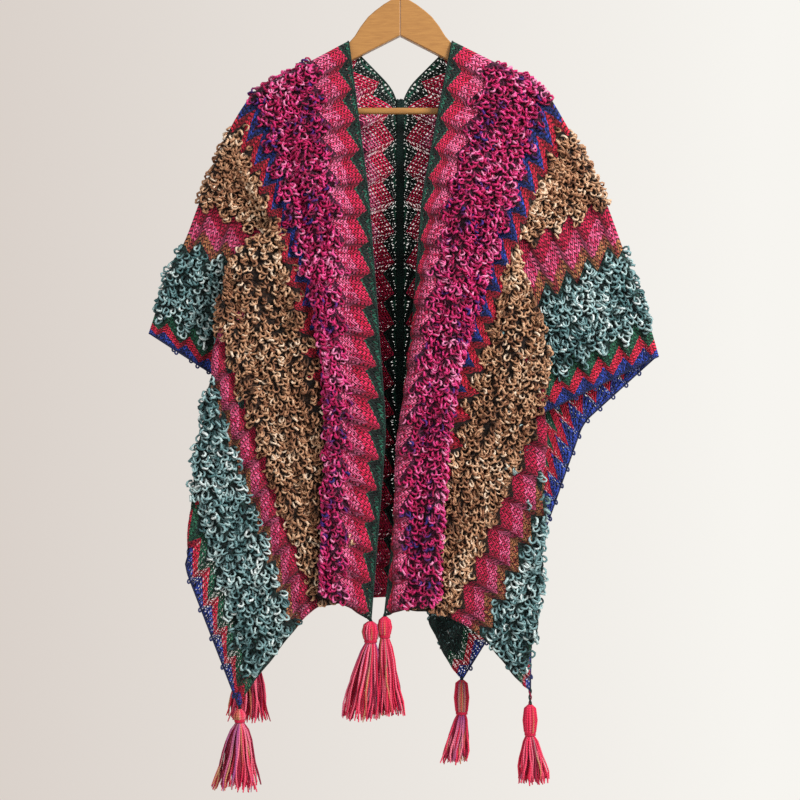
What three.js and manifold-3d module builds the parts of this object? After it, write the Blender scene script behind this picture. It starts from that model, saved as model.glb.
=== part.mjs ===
// An open-fronted knitted poncho with loop-pile bands, hanging on a flat wooden clothes hanger.
// Millimetres, X to the viewer's right, Y to the back, Z up. The origin is the inner top of the
// hook, where a rail or a peg holds it. A drop is a distance below the top of the hanger's wood.
import * as THREE from "three";
import { mergeVertices } from "three/addons/utils/BufferGeometryUtils.js";
import Module from "manifold-3d";

const wasm = await Module();
wasm.setup();

// The flat cut of each half of a panel, from the shoulder fold to a hem.
const PANEL_WIDTH = 482;
const PANEL_LENGTH = 767;

// The wall: flat knit, standing loop pile, and pile crushed inside a fold.
const KNIT = 2.5;
const PILE = 8;
const CRUSHED = 3;
const PILE_RAMP = 10;

// The pile stands up only on cloth that lies this far from the middle plane.
const PROUD_FROM = 38;
const PROUD_AT = 42;

// The zigzag of the stripes, which runs down the panel.
const TOOTH = 40.5;
const FIRST_TIP = 27.5;

// The fold over the shoulder, and how far a fold's bend is rounded on each side of its line.
const SHOULDER_HALF = 6.6;
const SEAM_HALF = 0.15;
const BEND = 26;
const SIDE_BEND = 18;
const TURN_STEP = 7;
const SEAM_START = 121;

// The hanger.
const HOOK_RISE = 70;
const HOOK_WIRE = 2;
const HOOK_INNER = 20;
const ARM_HALF_THICK = 6.2;
const ARM_END_X = 194;
const ARM_SLOPE = 0.536;
const BAR_RADIUS = 4.5;
const BAR_DROP = 150;
const FIT = 0.3;

// Where the pile bands lie across a panel, from the centre edge to the outer edge.
const PILE_BANDS = [
  { from: 51, to: 151 },
  { from: 183, to: 298 },
  { from: 348, to: 438 },
];

// Columns of the wall's grid that run straight down the cloth, some of them along its folds.
const STRAIGHT_COLUMNS = [0, 25, 88, 102, 124, 215, 240, 268, 393, PANEL_WIDTH];

// The zigzag across a panel: half of its swing, and the part of a tooth that runs back outwards.
const ZIGZAG = named(
  ["u", "swing", "back_share"],
  [
    [0, 0, 0.27],
    [20, 8.5, 0.27],
    [60, 9.5, 0.3],
    [151, 14, 0.58],
    [190, 13, 0.6],
    [298, 9, 0.78],
    [348, 9, 0.78],
    [440, 10, 0.75],
    [482, 0, 0.75],
  ],
);

// Each half panel is a set of ribs that run down the cloth, a row for each stripe edge or fold.
// u is the place across the flat cut. A rib passes four points: its top on the shoulder fold, a
// middle and a low point, and the hem. Past the hanger's end the middle point is the hidden fold
// inside the sleeve and the low point is the outer fold of the body. x is the distance from the
// centre towards the panel's own side, y the distance from the middle plane, drop as above.
const COLUMNS = [
  "u", "top_x", "top_drop", "mid_x", "mid_y", "mid_drop",
  "low_x", "low_y", "low_drop", "hem_x", "hem_y", "hem_drop",
];

const LEFT_FRONT = named(COLUMNS, [
  [0, 69, 59, 42, 30, 270, 19, 42, 580, 39, 42, 833],
  [51, 112, 82, 84, 38, 270, 74, 47, 580, 73, 46, 811],
  [93, 147, 100, 112, 42, 275, 99, 50, 560, 117, 49, 795],
  [120, 170, 113, 128, 29, 285, 90, 43, 560, 95, 44, 797],
  [151, 196, 127, 150, 37, 295, 54, 37, 560, 66, 40, 802],
  [188, 224, 170, 167, 40, 320, 96, 33, 560, 34, 35, 806],
  [240, 247, 224, 150, 26, 290, 232, 41, 330, 64, 28, 809],
  [298, 268, 275, 138, 26, 338, 247, 42, 435, 113, 32, 815],
  [348, 287, 328, 128, 26, 405, 256, 43, 500, 139, 40, 843],
  [393, 314, 378, 126, 26, 470, 266, 43, 556, 170, 43, 884],
  [438, 328, 427, 128, 26, 540, 281, 42, 648, 202, 42, 924],
  [482, 336, 451, 138, 26, 578, 288, 40, 752, 212, 40, 949],
]);

const RIGHT_FRONT = named(COLUMNS, [
  [0, 70, 59, 30, 30, 270, 8, 33, 600, -20, 40, 827],
  [26, 94, 71, 47, 34, 270, -12, 42, 600, -9, 43, 823],
  [51, 118, 83, 60, 38, 270, 4, 47, 600, -2, 46, 818],
  [100, 166, 107, 100, 42, 275, 63, 50, 600, 51, 50, 812],
  [125, 180, 116, 124, 37, 285, 54, 43, 600, 40, 44, 812],
  [151, 196, 127, 146, 39, 295, 34, 38, 590, 22, 41, 815],
  [188, 224, 176, 168, 40, 310, 72, 35, 600, 0, 35, 818],
  [240, 251, 222, 140, 26, 295, 197, 41, 415, 34, 28, 822],
  [298, 276, 276, 118, 26, 350, 197, 42, 536, 70, 32, 830],
  [348, 297, 335, 124, 26, 440, 196, 43, 667, 108, 40, 852],
  [438, 335, 443, 128, 25, 546, 185, 43, 845, 158, 42, 914],
  [482, 346, 482, 128, 24, 588, 172, 32, 780, 172, 38, 926],
]);

const LEFT_BACK = named(COLUMNS, [
  [0, 69, 59, 3, 30, 122, 3, 44, 480, 3, 44, 812],
  [51, 112, 82, 54, 36, 165, 54, 48, 480, 52, 48, 813],
  [96, 149, 101, 98, 40, 215, 97, 50, 490, 98, 50, 813],
  [151, 196, 127, 142, 37, 260, 66, 43, 560, 62, 43, 812],
  [193, 227, 180, 176, 38, 300, 104, 36, 580, 30, 36, 812],
  [240, 247, 224, 150, 26, 290, 226, 41, 340, 72, 28, 812],
  [298, 268, 275, 138, 26, 338, 241, 42, 440, 118, 34, 814],
  [348, 287, 328, 128, 26, 405, 248, 43, 510, 150, 40, 821],
  [438, 328, 427, 128, 26, 540, 262, 42, 650, 192, 42, 847],
  [482, 336, 451, 138, 26, 578, 262, 40, 700, 206, 40, 860],
]);

const RIGHT_BACK = named(COLUMNS, [
  [0, 70, 59, 3, 30, 122, 3, 44, 480, 3, 44, 812],
  [51, 118, 83, 55, 36, 165, 54, 48, 480, 50, 49, 813],
  [96, 162, 105, 102, 40, 215, 98, 51, 490, 90, 52, 815],
  [151, 196, 127, 146, 38, 270, 66, 43, 560, 60, 44, 817],
  [193, 227, 180, 178, 39, 300, 108, 36, 580, 38, 37, 819],
  [240, 251, 222, 140, 26, 295, 190, 41, 415, 58, 33, 821],
  [298, 277, 276, 118, 26, 350, 188, 43, 520, 82, 30, 823],
  [351, 298, 338, 124, 26, 430, 183, 43, 560, 33, 26, 831],
  [438, 335, 443, 190, 25, 525, 172, 34, 720, 66, 22, 900],
  [482, 346, 482, 250, 18, 570, 180, 28, 770, 84, 20, 922],
]);

// The tassels hang from panel corners: which half and which edge, the drops below the corner to
// the head, the tie and the strands' ends, and the sizes of the head and of the spread skirt.
const TASSELS = named(
  ["name", "half", "edge", "stem", "tie", "length", "head_r", "spread", "sway", "strands"],
  [
    ["tassel_left_front_inner", "left_front", 0, 2, 25, 131, 11, 27, -14, 15],
    ["tassel_right_front_inner", "right_front", 0, 2, 25, 131, 9, 18, 8, 12],
    ["tassel_left_front_outer", "left_front", PANEL_WIDTH, 2, 15, 108, 8, 33, -6, 15],
    ["tassel_right_front_outer", "right_front", PANEL_WIDTH, 20, 56, 123, 9, 22, 4, 14],
    ["tassel_left_back_outer", "left_back", PANEL_WIDTH, 4, 30, 124, 9, 30, -4, 13],
    ["tassel_right_back_outer", "right_back", PANEL_WIDTH, 2, 44, 114, 10, 18, -10, 14],
  ],
);

function named(columns, rows) {
  return rows.map((row) => Object.fromEntries(columns.map((column, i) => [column, row[i]])));
}

function mix(a, b, t) {
  return a + (b - a) * t;
}

function clamp(value, low, high) {
  return Math.min(high, Math.max(low, value));
}

function smooth(low, high, value) {
  const t = clamp((value - low) / (high - low), 0, 1);
  return t * t * (3 - 2 * t);
}

// The value at a place on a line of straight runs, which goes on straight past both ends.
function along(places, values, at) {
  const last = places.length - 2;
  let i = 0;
  while (i < last && at > places[i + 1]) i += 1;
  return mix(values[i], values[i + 1], (at - places[i]) / (places[i + 1] - places[i]));
}

// The same line with each corner rounded: its mean over a reach on both sides of the place.
function rounded(places, values, reach, at) {
  const inside = places.filter((place) => Math.abs(place - at) < reach);
  const stops = [at - reach, ...inside, at + reach];
  let sum = 0;
  for (let i = 1; i < stops.length; i += 1) {
    const middle = along(places, values, (stops[i - 1] + stops[i]) / 2);
    sum += middle * (stops[i] - stops[i - 1]);
  }
  return sum / (2 * reach);
}

// A half panel of cloth: which side of the body it hangs on, front or back, and its ribs.
function makeHalf(name, ribs, side, face, colour) {
  const places = ribs.map((rib) => rib.u);
  const column = (key) => ribs.map((rib) => rib[key]);
  const columns = Object.fromEntries(COLUMNS.map((key) => [key, column(key)]));
  return { name, places, columns, side, face, colour };
}

// The four points that the rib at u passes, and how far down the flat cut each lies.
function ribAt(half, u) {
  const value = (key) => rounded(half.places, half.columns[key], SIDE_BEND, u);
  const top = { x: value("top_x"), y: SHOULDER_HALF, drop: value("top_drop") };
  const [mid, low, hem] = ["mid", "low", "hem"].map((part) => ({
    x: value(part + "_x"),
    y: value(part + "_y"),
    drop: value(part + "_drop"),
  }));
  const run = (a, b) => Math.hypot(a.x - b.x, a.drop - b.drop);
  const length = PANEL_LENGTH - SHOULDER_HALF;
  const lowV = length - run(low, hem);
  const midV = (lowV * run(top, mid)) / (run(top, mid) + run(mid, low));
  return { points: [top, mid, low, hem], stops: [0, midV, lowV, length] };
}

// A point of the cloth's inner face, u across the flat cut and v down from the shoulder fold.
function clothPoint(half, u, v) {
  const rib = ribAt(half, u);
  const below = Math.max(0, v - SHOULDER_HALF);
  const reach = clamp(below, 0.5, BEND);
  const value = (key) =>
    rounded(rib.stops, rib.points.map((point) => point[key]), reach, below);
  const x = v > SHOULDER_HALF ? value("x") : rib.points[0].x;
  const drop = v > SHOULDER_HALF ? value("drop") : rib.points[0].drop;
  const turn = smooth(188, 240, u) * TURN_STEP;
  const midStop = rib.stops[1];
  const step = turn * (smooth(midStop - BEND, midStop + BEND, below) - below / rib.stops[2]);
  const y = v > SHOULDER_HALF ? value("y") + (below < rib.stops[2] ? step : 0) : v;
  return new THREE.Vector3(half.side * x, half.face * y, FIT - HOOK_RISE - drop);
}

// The outward direction of the cloth at a place on the flat cut.
function clothNormal(half, u, v) {
  const du = clothPoint(half, u + 1, v).sub(clothPoint(half, u - 1, v));
  const dv = clothPoint(half, u, v + 1).sub(clothPoint(half, u, Math.max(0, v - 1)));
  const turn = half.side * half.face;
  return du.cross(dv).normalize().multiplyScalar(turn);
}

function zigzagAt(u) {
  const places = ZIGZAG.map((row) => row.u);
  const swing = along(places, ZIGZAG.map((row) => row.swing), u);
  const share = along(places, ZIGZAG.map((row) => row.back_share), u);
  return { swing, share };
}

// How far the stripes shift towards the outer edge at a place, and back to the centre at a tip.
function zigzag(u, v) {
  const { swing, share } = zigzagAt(u);
  const phase = (((v - FIRST_TIP) / TOOTH) % 1 + 1) % 1;
  const outward = phase < share ? phase / share : (1 - phase) / (1 - share);
  return swing * mix(-1, 1, outward);
}

// The thickness of the wall: pile bands stand proud where the cloth faces out, and are crushed
// where it is folded away inside.
function wallThickness(half, stripe, v, point, normal) {
  const inBand = PILE_BANDS.some((band) => stripe > band.from && stripe < band.to);
  if (!inBand) return KNIT;
  const depth = Math.abs(point.y);
  const out = smooth(0.1, 0.5, normal.y * half.face) * smooth(PROUD_FROM, PROUD_AT, depth);
  const nearFold = 1 - smooth(45, 75, v);
  return mix(CRUSHED, PILE, Math.max(out, nearFold));
}

// The columns of the wall's grid: each pile band has a column inside and outside of its edges.
function gridColumns() {
  const edges = PILE_BANDS.flatMap((band) => [band.from, band.to]);
  const pairs = edges.flatMap((edge) => [edge - PILE_RAMP / 2, edge + PILE_RAMP / 2]);
  return [...pairs, ...STRAIGHT_COLUMNS].sort((a, b) => a - b);
}

// The rows of the wall's grid: two at the shoulder fold, one at each tip and root, and the hem.
function gridRows() {
  const rows = [{ v: SEAM_HALF }, { v: SHOULDER_HALF }];
  for (let tip = FIRST_TIP; tip < PANEL_LENGTH - TOOTH / 2; tip += TOOTH) {
    rows.push({ tip, root: false }, { tip, root: true });
  }
  return [...rows, { v: PANEL_LENGTH }];
}

// The place on the flat cut of a stripe at a row: the zigzag's tips lean to the centre edge.
function gridPlace(stripe, row) {
  if (row.v !== undefined) {
    const shift = STRAIGHT_COLUMNS.includes(stripe) ? 0 : zigzag(stripe, row.v);
    return { u: stripe + shift, v: row.v };
  }
  const { swing, share } = zigzagAt(stripe);
  const reach = STRAIGHT_COLUMNS.includes(stripe) ? 0 : swing;
  const shift = row.root ? reach : -reach;
  return { u: stripe + shift, v: row.tip + (row.root ? share * TOOTH : 0) };
}

// A closed wall over a grid: an inner face, an outer face and the strip that joins their edges.
function wallGeometry(inner, outer, flip) {
  const rows = inner.length;
  const columns = inner[0].length;
  const positions = [];
  [inner, outer].forEach((face) => face.forEach((row) => row.forEach((p) => positions.push(...p))));
  const at = (face, j, i) => face * rows * columns + j * columns + i;
  const triangles = [];
  const quad = (a, b, c, d) => {
    const corners = flip ? [a, c, b, a, d, c] : [a, b, c, a, c, d];
    triangles.push(...corners);
  };
  for (let j = 0; j + 1 < rows; j += 1) {
    for (let i = 0; i + 1 < columns; i += 1) {
      quad(at(1, j, i), at(1, j, i + 1), at(1, j + 1, i + 1), at(1, j + 1, i));
      quad(at(0, j, i), at(0, j + 1, i), at(0, j + 1, i + 1), at(0, j, i + 1));
    }
    quad(at(0, j, 0), at(1, j, 0), at(1, j + 1, 0), at(0, j + 1, 0));
    quad(at(0, j, columns - 1), at(0, j + 1, columns - 1), at(1, j + 1, columns - 1),
      at(1, j, columns - 1));
  }
  for (let i = 0; i + 1 < columns; i += 1) {
    quad(at(0, 0, i), at(0, 0, i + 1), at(1, 0, i + 1), at(1, 0, i));
    quad(at(0, rows - 1, i), at(1, rows - 1, i), at(1, rows - 1, i + 1), at(0, rows - 1, i + 1));
  }
  const geometry = new THREE.BufferGeometry();
  geometry.setAttribute("position", new THREE.Float32BufferAttribute(positions, 3));
  geometry.setIndex(triangles);
  return geometry;
}

// The wall of one half panel.
function clothWall(half) {
  const stripes = gridColumns();
  const inner = [];
  const outer = [];
  for (const row of gridRows()) {
    const innerRow = [];
    const outerRow = [];
    for (const stripe of stripes) {
      const { u, v } = gridPlace(stripe, row);
      const point = clothPoint(half, u, v);
      const normal = clothNormal(half, u, v);
      const wall = wallThickness(half, stripe, v, point, normal);
      innerRow.push(point);
      outerRow.push(point.clone().addScaledVector(normal, wall));
    }
    inner.push(innerRow);
    outer.push(outerRow);
  }
  const list = (grid) => grid.map((row) => row.map((p) => p.toArray()));
  return wallGeometry(list(inner), list(outer), half.side * half.face < 0);
}

// The crocheted join down the centre back, between the two back halves.
function seamWall(left, right) {
  const inner = [];
  const outer = [];
  const rows = 24;
  for (let j = 0; j <= rows; j += 1) {
    const v = mix(SEAM_START, PANEL_LENGTH, j / rows);
    const a = clothPoint(left, 0, v);
    const b = clothPoint(right, 0, v);
    const gap = new THREE.Vector3(FIT, 0, 0);
    const ends = [a.clone().add(gap), b.clone().sub(gap)];
    inner.push(ends.map((p) => [p.x, p.y - 1, p.z]));
    outer.push(ends.map((p) => [p.x, p.y + KNIT + 1, p.z]));
  }
  return wallGeometry(inner, outer, false);
}

// A closed prism: an outline in X and Z, pushed through in Y.
function slab(outline, halfThick) {
  const shape = new THREE.Shape(outline.map(([x, z]) => new THREE.Vector2(x, z)));
  const bevel = 1.2;
  const geometry = new THREE.ExtrudeGeometry(shape, {
    depth: 2 * (halfThick - bevel),
    bevelEnabled: true,
    bevelThickness: bevel,
    bevelSize: bevel,
    bevelOffset: -bevel,
    bevelSegments: 1,
    curveSegments: 6,
  });
  geometry.rotateX(Math.PI / 2);
  geometry.translate(0, halfThick - bevel, 0);
  return geometry;
}

// The outline of one arm of the hanger, from the centre joint to its rounded end.
function armOutline(side) {
  const neck = named(["x", "drop"], [
    [FIT / 2, 0], [12, 1], [22, 7], [34, 16], [43, 24], [53, 37], [61, 50], [69, 59],
  ]);
  const topAt = (x) => ({ x, drop: 59 + (x - 69) * ARM_SLOPE });
  const end = topAt(ARM_END_X).drop;
  const inside = ARM_END_X - 17;
  const top = [
    ...neck,
    topAt(ARM_END_X - 22),
    { x: ARM_END_X - 8, drop: end },
    { x: ARM_END_X - 1, drop: end + 8 },
  ];
  const foot = [
    { x: ARM_END_X, drop: end + 20 },
    { x: ARM_END_X - 2, drop: BAR_DROP + 9 },
    { x: ARM_END_X - 8, drop: BAR_DROP + 13 },
    { x: inside, drop: BAR_DROP + 9 },
    { x: inside, drop: BAR_DROP - 8 },
    { x: 63, drop: 81 },
    { x: 53, drop: 76 },
    { x: FIT / 2, drop: 49 },
  ];
  return [...top, ...foot].map(({ x, drop }) => [side * x, -HOOK_RISE - drop]);
}

function hangerArm(side) {
  const outline = armOutline(side);
  return slab(side > 0 ? outline : outline.reverse(), ARM_HALF_THICK);
}

// The bar across the hanger, whose ends meet the inner faces of the arms' feet.
function trouserBar() {
  const length = 2 * (ARM_END_X - 17 - FIT);
  const geometry = new THREE.CylinderGeometry(BAR_RADIUS, BAR_RADIUS, length, 16);
  geometry.rotateZ(Math.PI / 2);
  geometry.translate(0, 0, -HOOK_RISE - BAR_DROP);
  return geometry;
}

function toSolid(geometry) {
  const bare = geometry.clone();
  bare.deleteAttribute("normal");
  bare.deleteAttribute("uv");
  const merged = mergeVertices(bare, 1e-4);
  return new wasm.Manifold(
    new wasm.Mesh({
      numProp: 3,
      vertProperties: new Float32Array(merged.attributes.position.array),
      triVerts: new Uint32Array(merged.index.array),
    }),
  );
}

function fromSolid(solid) {
  const mesh = solid.getMesh();
  const geometry = new THREE.BufferGeometry();
  geometry.setAttribute("position", new THREE.Float32BufferAttribute(mesh.vertProperties, 3));
  geometry.setIndex([...mesh.triVerts]);
  return geometry;
}

// The hook: a shank out of a collar on the wood, and a round bend that ends open on one side.
function hook() {
  const radius = HOOK_INNER + HOOK_WIRE;
  const centreZ = -HOOK_INNER;
  const points = [new THREE.Vector3(0, 0, -HOOK_RISE + 1), new THREE.Vector3(0, 0, -HOOK_RISE + 8)];
  const turns = 16;
  for (let i = 0; i <= turns; i += 1) {
    const angle = mix(-0.36, 1.16, i / turns) * Math.PI;
    points.push(new THREE.Vector3(radius * Math.cos(angle), 0, centreZ + radius * Math.sin(angle)));
  }
  const wire = new THREE.ExtrudeGeometry(circleShape(HOOK_WIRE, 8), {
    steps: 36,
    extrudePath: new THREE.CatmullRomCurve3(points),
    bevelEnabled: false,
  });
  const profile = [[0, 0], [7, 0], [7, 1.5], [4, 3.5], [0, 3.5]];
  const collar = new THREE.LatheGeometry(profile.map(([r, h]) => new THREE.Vector2(r, h)), 16);
  collar.rotateX(Math.PI / 2);
  collar.translate(0, 0, -HOOK_RISE + FIT);
  return fromSolid(toSolid(wire).add(toSolid(collar)));
}

function circleShape(radius, sides) {
  const points = [];
  for (let i = 0; i < sides; i += 1) {
    const angle = (2 * Math.PI * i) / sides;
    points.push(new THREE.Vector2(radius * Math.cos(angle), radius * Math.sin(angle)));
  }
  return new THREE.Shape(points);
}

// A rod of a few sides through a list of rings, each a centre and a radius, closed at both ends.
function rod(rings, sides) {
  const positions = [];
  for (const ring of rings) {
    for (let k = 0; k < sides; k += 1) {
      const angle = (2 * Math.PI * k) / sides;
      positions.push(ring.x + ring.r * Math.cos(angle), ring.y + ring.r * Math.sin(angle), ring.z);
    }
  }
  const first = rings[0];
  const last = rings[rings.length - 1];
  positions.push(first.x, first.y, first.z, last.x, last.y, last.z);
  const triangles = [];
  const firstTip = rings.length * sides;
  for (let j = 0; j + 1 < rings.length; j += 1) {
    for (let k = 0; k < sides; k += 1) {
      const [a, b] = [j * sides + k, j * sides + ((k + 1) % sides)];
      triangles.push(a, a + sides, b + sides, a, b + sides, b);
    }
  }
  for (let k = 0; k < sides; k += 1) {
    const next = (k + 1) % sides;
    const base = (rings.length - 1) * sides;
    triangles.push(firstTip, k, next, firstTip + 1, base + next, base + k);
  }
  const geometry = new THREE.BufferGeometry();
  geometry.setAttribute("position", new THREE.Float32BufferAttribute(positions, 3));
  geometry.setIndex(triangles);
  return geometry;
}

// The place a tassel hangs from: the middle of the wall's lower edge at a panel's corner.
function cornerPoint(half, u) {
  const point = clothPoint(half, u, PANEL_LENGTH);
  const normal = clothNormal(half, u, PANEL_LENGTH - 1);
  return point.addScaledVector(normal, KNIT / 2).sub(new THREE.Vector3(0, 0, FIT));
}

// A tassel: a rounded head bound at its tie, and separate strands that spread out below it.
function tassel(row, corner) {
  const ring = (drop, r) => ({ x: corner.x, y: corner.y, r, z: corner.z - drop });
  const waist = row.head_r * 0.55;
  const middle = (row.stem + row.tie) / 2;
  const rings = [
    ring(0, 1.6),
    ring(row.stem, 2),
    ring(row.stem + 3, row.head_r * 0.8),
    ring(middle, row.head_r),
    ring(row.tie - 2, waist),
    ring(row.tie + 3, waist),
    ring(row.tie + 12, row.head_r * 0.9),
  ];
  let solid = toSolid(rod(rings, 10));
  for (let i = 0; i < row.strands; i += 1) {
    solid = solid.add(toSolid(strand(row, corner, i)));
  }
  return fromSolid(solid);
}

// One strand of a tassel: it leaves the skirt of the head and hangs at its own place.
function strand(row, corner, i) {
  const turn = i * 2.4;
  const share = Math.sqrt((i + 0.5) / row.strands);
  const start = row.head_r * 0.62 * share;
  const end = row.spread * share;
  const endDrop = row.length - 9 * ((i * 0.37) % 1);
  const rings = [0, 0.35, 1].map((t) => {
    const out = mix(start, end, Math.sqrt(t));
    return {
      x: corner.x + out * Math.cos(turn) + row.sway * t,
      y: corner.y + 0.55 * out * Math.sin(turn),
      r: mix(1.5, 2.2, t),
      z: corner.z - mix(row.tie + 9, endDrop, t),
    };
  });
  return rod(rings, 3);
}

function addPiece(group, name, geometry, colour, roughness, metalness = 0) {
  geometry.computeVertexNormals();
  const material = new THREE.MeshStandardMaterial({ color: colour, roughness, metalness });
  const mesh = new THREE.Mesh(geometry, material);
  mesh.name = name;
  group.add(mesh);
}

function buildPoncho() {
  const poncho = new THREE.Group();
  const halves = [
    makeHalf("left_front", LEFT_FRONT, -1, -1, 0xc0366f),
    makeHalf("right_front", RIGHT_FRONT, 1, -1, 0xb8326b),
    makeHalf("left_back", LEFT_BACK, -1, 1, 0xb08050),
    makeHalf("right_back", RIGHT_BACK, 1, 1, 0x8fb4b0),
  ];
  for (const half of halves) {
    addPiece(poncho, half.name, clothWall(half), half.colour, 0.95);
  }
  addPiece(poncho, "centre_back_seam", seamWall(halves[2], halves[3]), 0x1e3a30, 0.95);
  for (const row of TASSELS) {
    const half = halves.find((one) => one.name === row.half);
    addPiece(poncho, row.name, tassel(row, cornerPoint(half, row.edge)), 0xd0405f, 0.9);
  }
  return poncho;
}

function buildHanger() {
  const hanger = new THREE.Group();
  addPiece(hanger, "hanger_arm_left", hangerArm(-1), 0xc08a45, 0.5);
  addPiece(hanger, "hanger_arm_right", hangerArm(1), 0xc08a45, 0.5);
  addPiece(hanger, "hanger_bar", trouserBar(), 0xc89650, 0.5);
  addPiece(hanger, "hanger_hook", hook(), 0xc8c8cc, 0.25, 1);
  return hanger;
}

const part = new THREE.Group();
part.add(buildPoncho(), buildHanger());

export default part;
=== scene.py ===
"""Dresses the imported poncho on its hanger: knit panels, yarn loops, edges, seam and tassels.

The tables are in millimetres. A place on the cloth is given on a panel's flat cut: "across" runs
from the centre edge to the outer edge and "down" from the shoulder fold to the hem. A drop is a
distance below the top of the hanger's wood. Meshes are in metres, in the frame's axes.
"""

import logging
import math
from dataclasses import dataclass
from enum import Enum
from typing import Sequence

import bpy
import numpy as np
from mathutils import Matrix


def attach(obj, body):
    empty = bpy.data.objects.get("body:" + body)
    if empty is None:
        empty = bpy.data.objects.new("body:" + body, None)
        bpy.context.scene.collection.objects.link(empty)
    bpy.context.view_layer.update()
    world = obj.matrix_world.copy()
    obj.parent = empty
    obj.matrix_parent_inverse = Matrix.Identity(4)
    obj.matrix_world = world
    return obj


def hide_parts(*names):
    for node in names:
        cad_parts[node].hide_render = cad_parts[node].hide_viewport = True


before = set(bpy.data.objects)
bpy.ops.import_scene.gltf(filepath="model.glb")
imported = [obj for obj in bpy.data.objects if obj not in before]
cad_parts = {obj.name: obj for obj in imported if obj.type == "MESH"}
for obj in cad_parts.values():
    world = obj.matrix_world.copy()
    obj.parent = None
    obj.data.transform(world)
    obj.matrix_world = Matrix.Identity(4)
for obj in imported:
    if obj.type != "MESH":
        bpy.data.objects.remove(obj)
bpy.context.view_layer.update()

LOG = logging.getLogger("poncho")
Array = np.ndarray
Material = bpy.types.Material
Socket = bpy.types.NodeSocket

# The flat cut and its zigzag.
PANEL_WIDTH = 482.0
PANEL_LENGTH = 767.0
TOOTH = 40.5
FIRST_TIP = 27.5
LAST_TOOTH = 18
SHOULDER_HALF = 6.6
# How the cloth bends, turns under at the sleeve and waves.
BEND = 26.0
SIDE_BEND = 18.0
TURN_FROM = 188.0
TURN_TO = 240.0
TURN_STEP = 7.0
RIPPLE_LENGTH = 43.0
RIPPLE_HEIGHT = 3.8
# The hook above the wood, the gap between pieces, and the knit's thickness in the CAD.
HOOK_RISE = 70.0
FIT = 0.3
KNIT = 2.5
# Angles, the path round a yarn, and the raster that finds the outermost fold.
TURN = 2.0 * math.pi
GOLDEN_TURN = 2.39996
YARN_GIRTH = 3.2
COVER_STEP = 2.0
COVER_CELL = 5.0
COVER_CELLS = (200, 260)
COVER_CORNER = (-420.0, -1200.0)
# The knit's grid.
COLUMN_STEP = 6.6
SHOULDER_ROWS = (0.15, 3.5, SHOULDER_HALF, 10.5, 14.5, 18.5, 22.5)
LOWEST_ROW = 762.0
THIRDS = (0.0, 1 / 3, 2 / 3)
# Colours that several finishes share.
BLACK = (0, 0, 0, 1)
# The near-black of the knit's grooves: black ground yarn, with painted shade in the grooves.
GROUND_YARN_AND_GROOVE_SHADE = "0a0608"


class Side(Enum):
    """The side of the body that a half panel hangs on, as the viewer sees it."""

    LEFT = -1
    RIGHT = 1


class Face(Enum):
    """Whether a half panel hangs in front of the body or behind it."""

    FRONT = -1
    BACK = 1


class Edge(Enum):
    """The two long edges of a panel, by their place across the flat cut."""

    CENTRE = 0.0
    OUTER = PANEL_WIDTH


def smooth(low: float, high: float, value: Array) -> Array:
    """Eases from 0 at low to 1 at high.

    Args:
        low: where the ease starts.
        high: where it ends.
        value: the places to read it at.

    Returns:
        The eased values, each from 0 to 1.
    """
    t = np.clip((value - low) / (high - low), 0.0, 1.0)
    return t * t * (3.0 - 2.0 * t)


def unit(vectors: Array) -> Array:
    """Returns the vectors scaled to a length of one."""
    return vectors / np.maximum(np.linalg.norm(vectors, axis=-1, keepdims=True), 1e-9)


def linear(code: str) -> tuple[float, float, float, float]:
    """Turns a hex colour, as it looks on a screen, into linear light.

    Args:
        code: six hex digits.

    Returns:
        Red, green, blue and an alpha of one.
    """
    parts = [int(code[i : i + 2], 16) / 255.0 for i in (0, 2, 4)]
    light = [c / 12.92 if c <= 0.04045 else ((c + 0.055) / 1.055) ** 2.4 for c in parts]
    return (light[0], light[1], light[2], 1.0)


@dataclass(frozen=True)
class Zigzag:
    """The zigzag of the stripes: half of its swing and how its teeth lean, across a panel.

    Attributes:
        across: the places that the other two lists are given at.
        swing: half of the zigzag's swing at each place.
        back_share: the part of a tooth that runs back outwards after its tip.
    """

    across: tuple[float, ...] = (0, 13, 60, 151, 190, 298, 348, 440, 467, 482)
    swing: tuple[float, ...] = (0, 8.0, 9.5, 14, 13, 9, 9, 12, 9.5, 0)
    back_share: tuple[float, ...] = (0.27, 0.27, 0.3, 0.58, 0.6, 0.78, 0.78, 0.75, 0.75, 0.75)

    def share(self, stripe: Array) -> Array:
        """Returns the part of a tooth that runs back outwards, at stripe places."""
        return np.interp(stripe, self.across, self.back_share)

    def phase(self, down: Array) -> Array:
        """Returns how far along its tooth a place is: 0 at a tip, 1 at the next."""
        return np.mod((down - FIRST_TIP) / TOOTH, 1.0)

    def outward(self, stripe: Array, down: Array) -> Array:
        """Returns 0 where the stripe is nearest the centre and 1 where it is farthest."""
        share = self.share(stripe)
        phase = self.phase(down)
        return np.where(phase < share, phase / share, (1.0 - phase) / (1.0 - share))

    def shift(self, stripe: Array, down: Array) -> Array:
        """Returns how far a stripe lies towards the outer edge of its straight place."""
        swing = np.interp(stripe, self.across, self.swing)
        return swing * (2.0 * self.outward(stripe, down) - 1.0)

    def short_side(self, stripe: Array, down: Array) -> Array:
        """Returns 1 on the short, open side of a tooth, 0 on the long one, a half between."""
        share = self.share(stripe)
        phase = self.phase(down + 1e-4)
        first = np.where(phase < share, 1.0, 0.0)
        short = np.where(share < 0.5, first, 1.0 - first)
        gap = np.minimum(np.abs(phase - share), np.minimum(phase, 1.0 - phase))
        return np.where(gap < 0.004, 0.5, short)

    def relief(self, stripe: Array, down: Array) -> Array:
        """Returns how far the knit stands out: it grows down a tooth's long side, 0 to 1."""
        outward = self.outward(stripe, down)
        lean = smooth(0.42, 0.56, self.share(stripe))
        return outward * lean + (1.0 - outward) * (1.0 - lean)


ZIGZAG = Zigzag()


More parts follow.
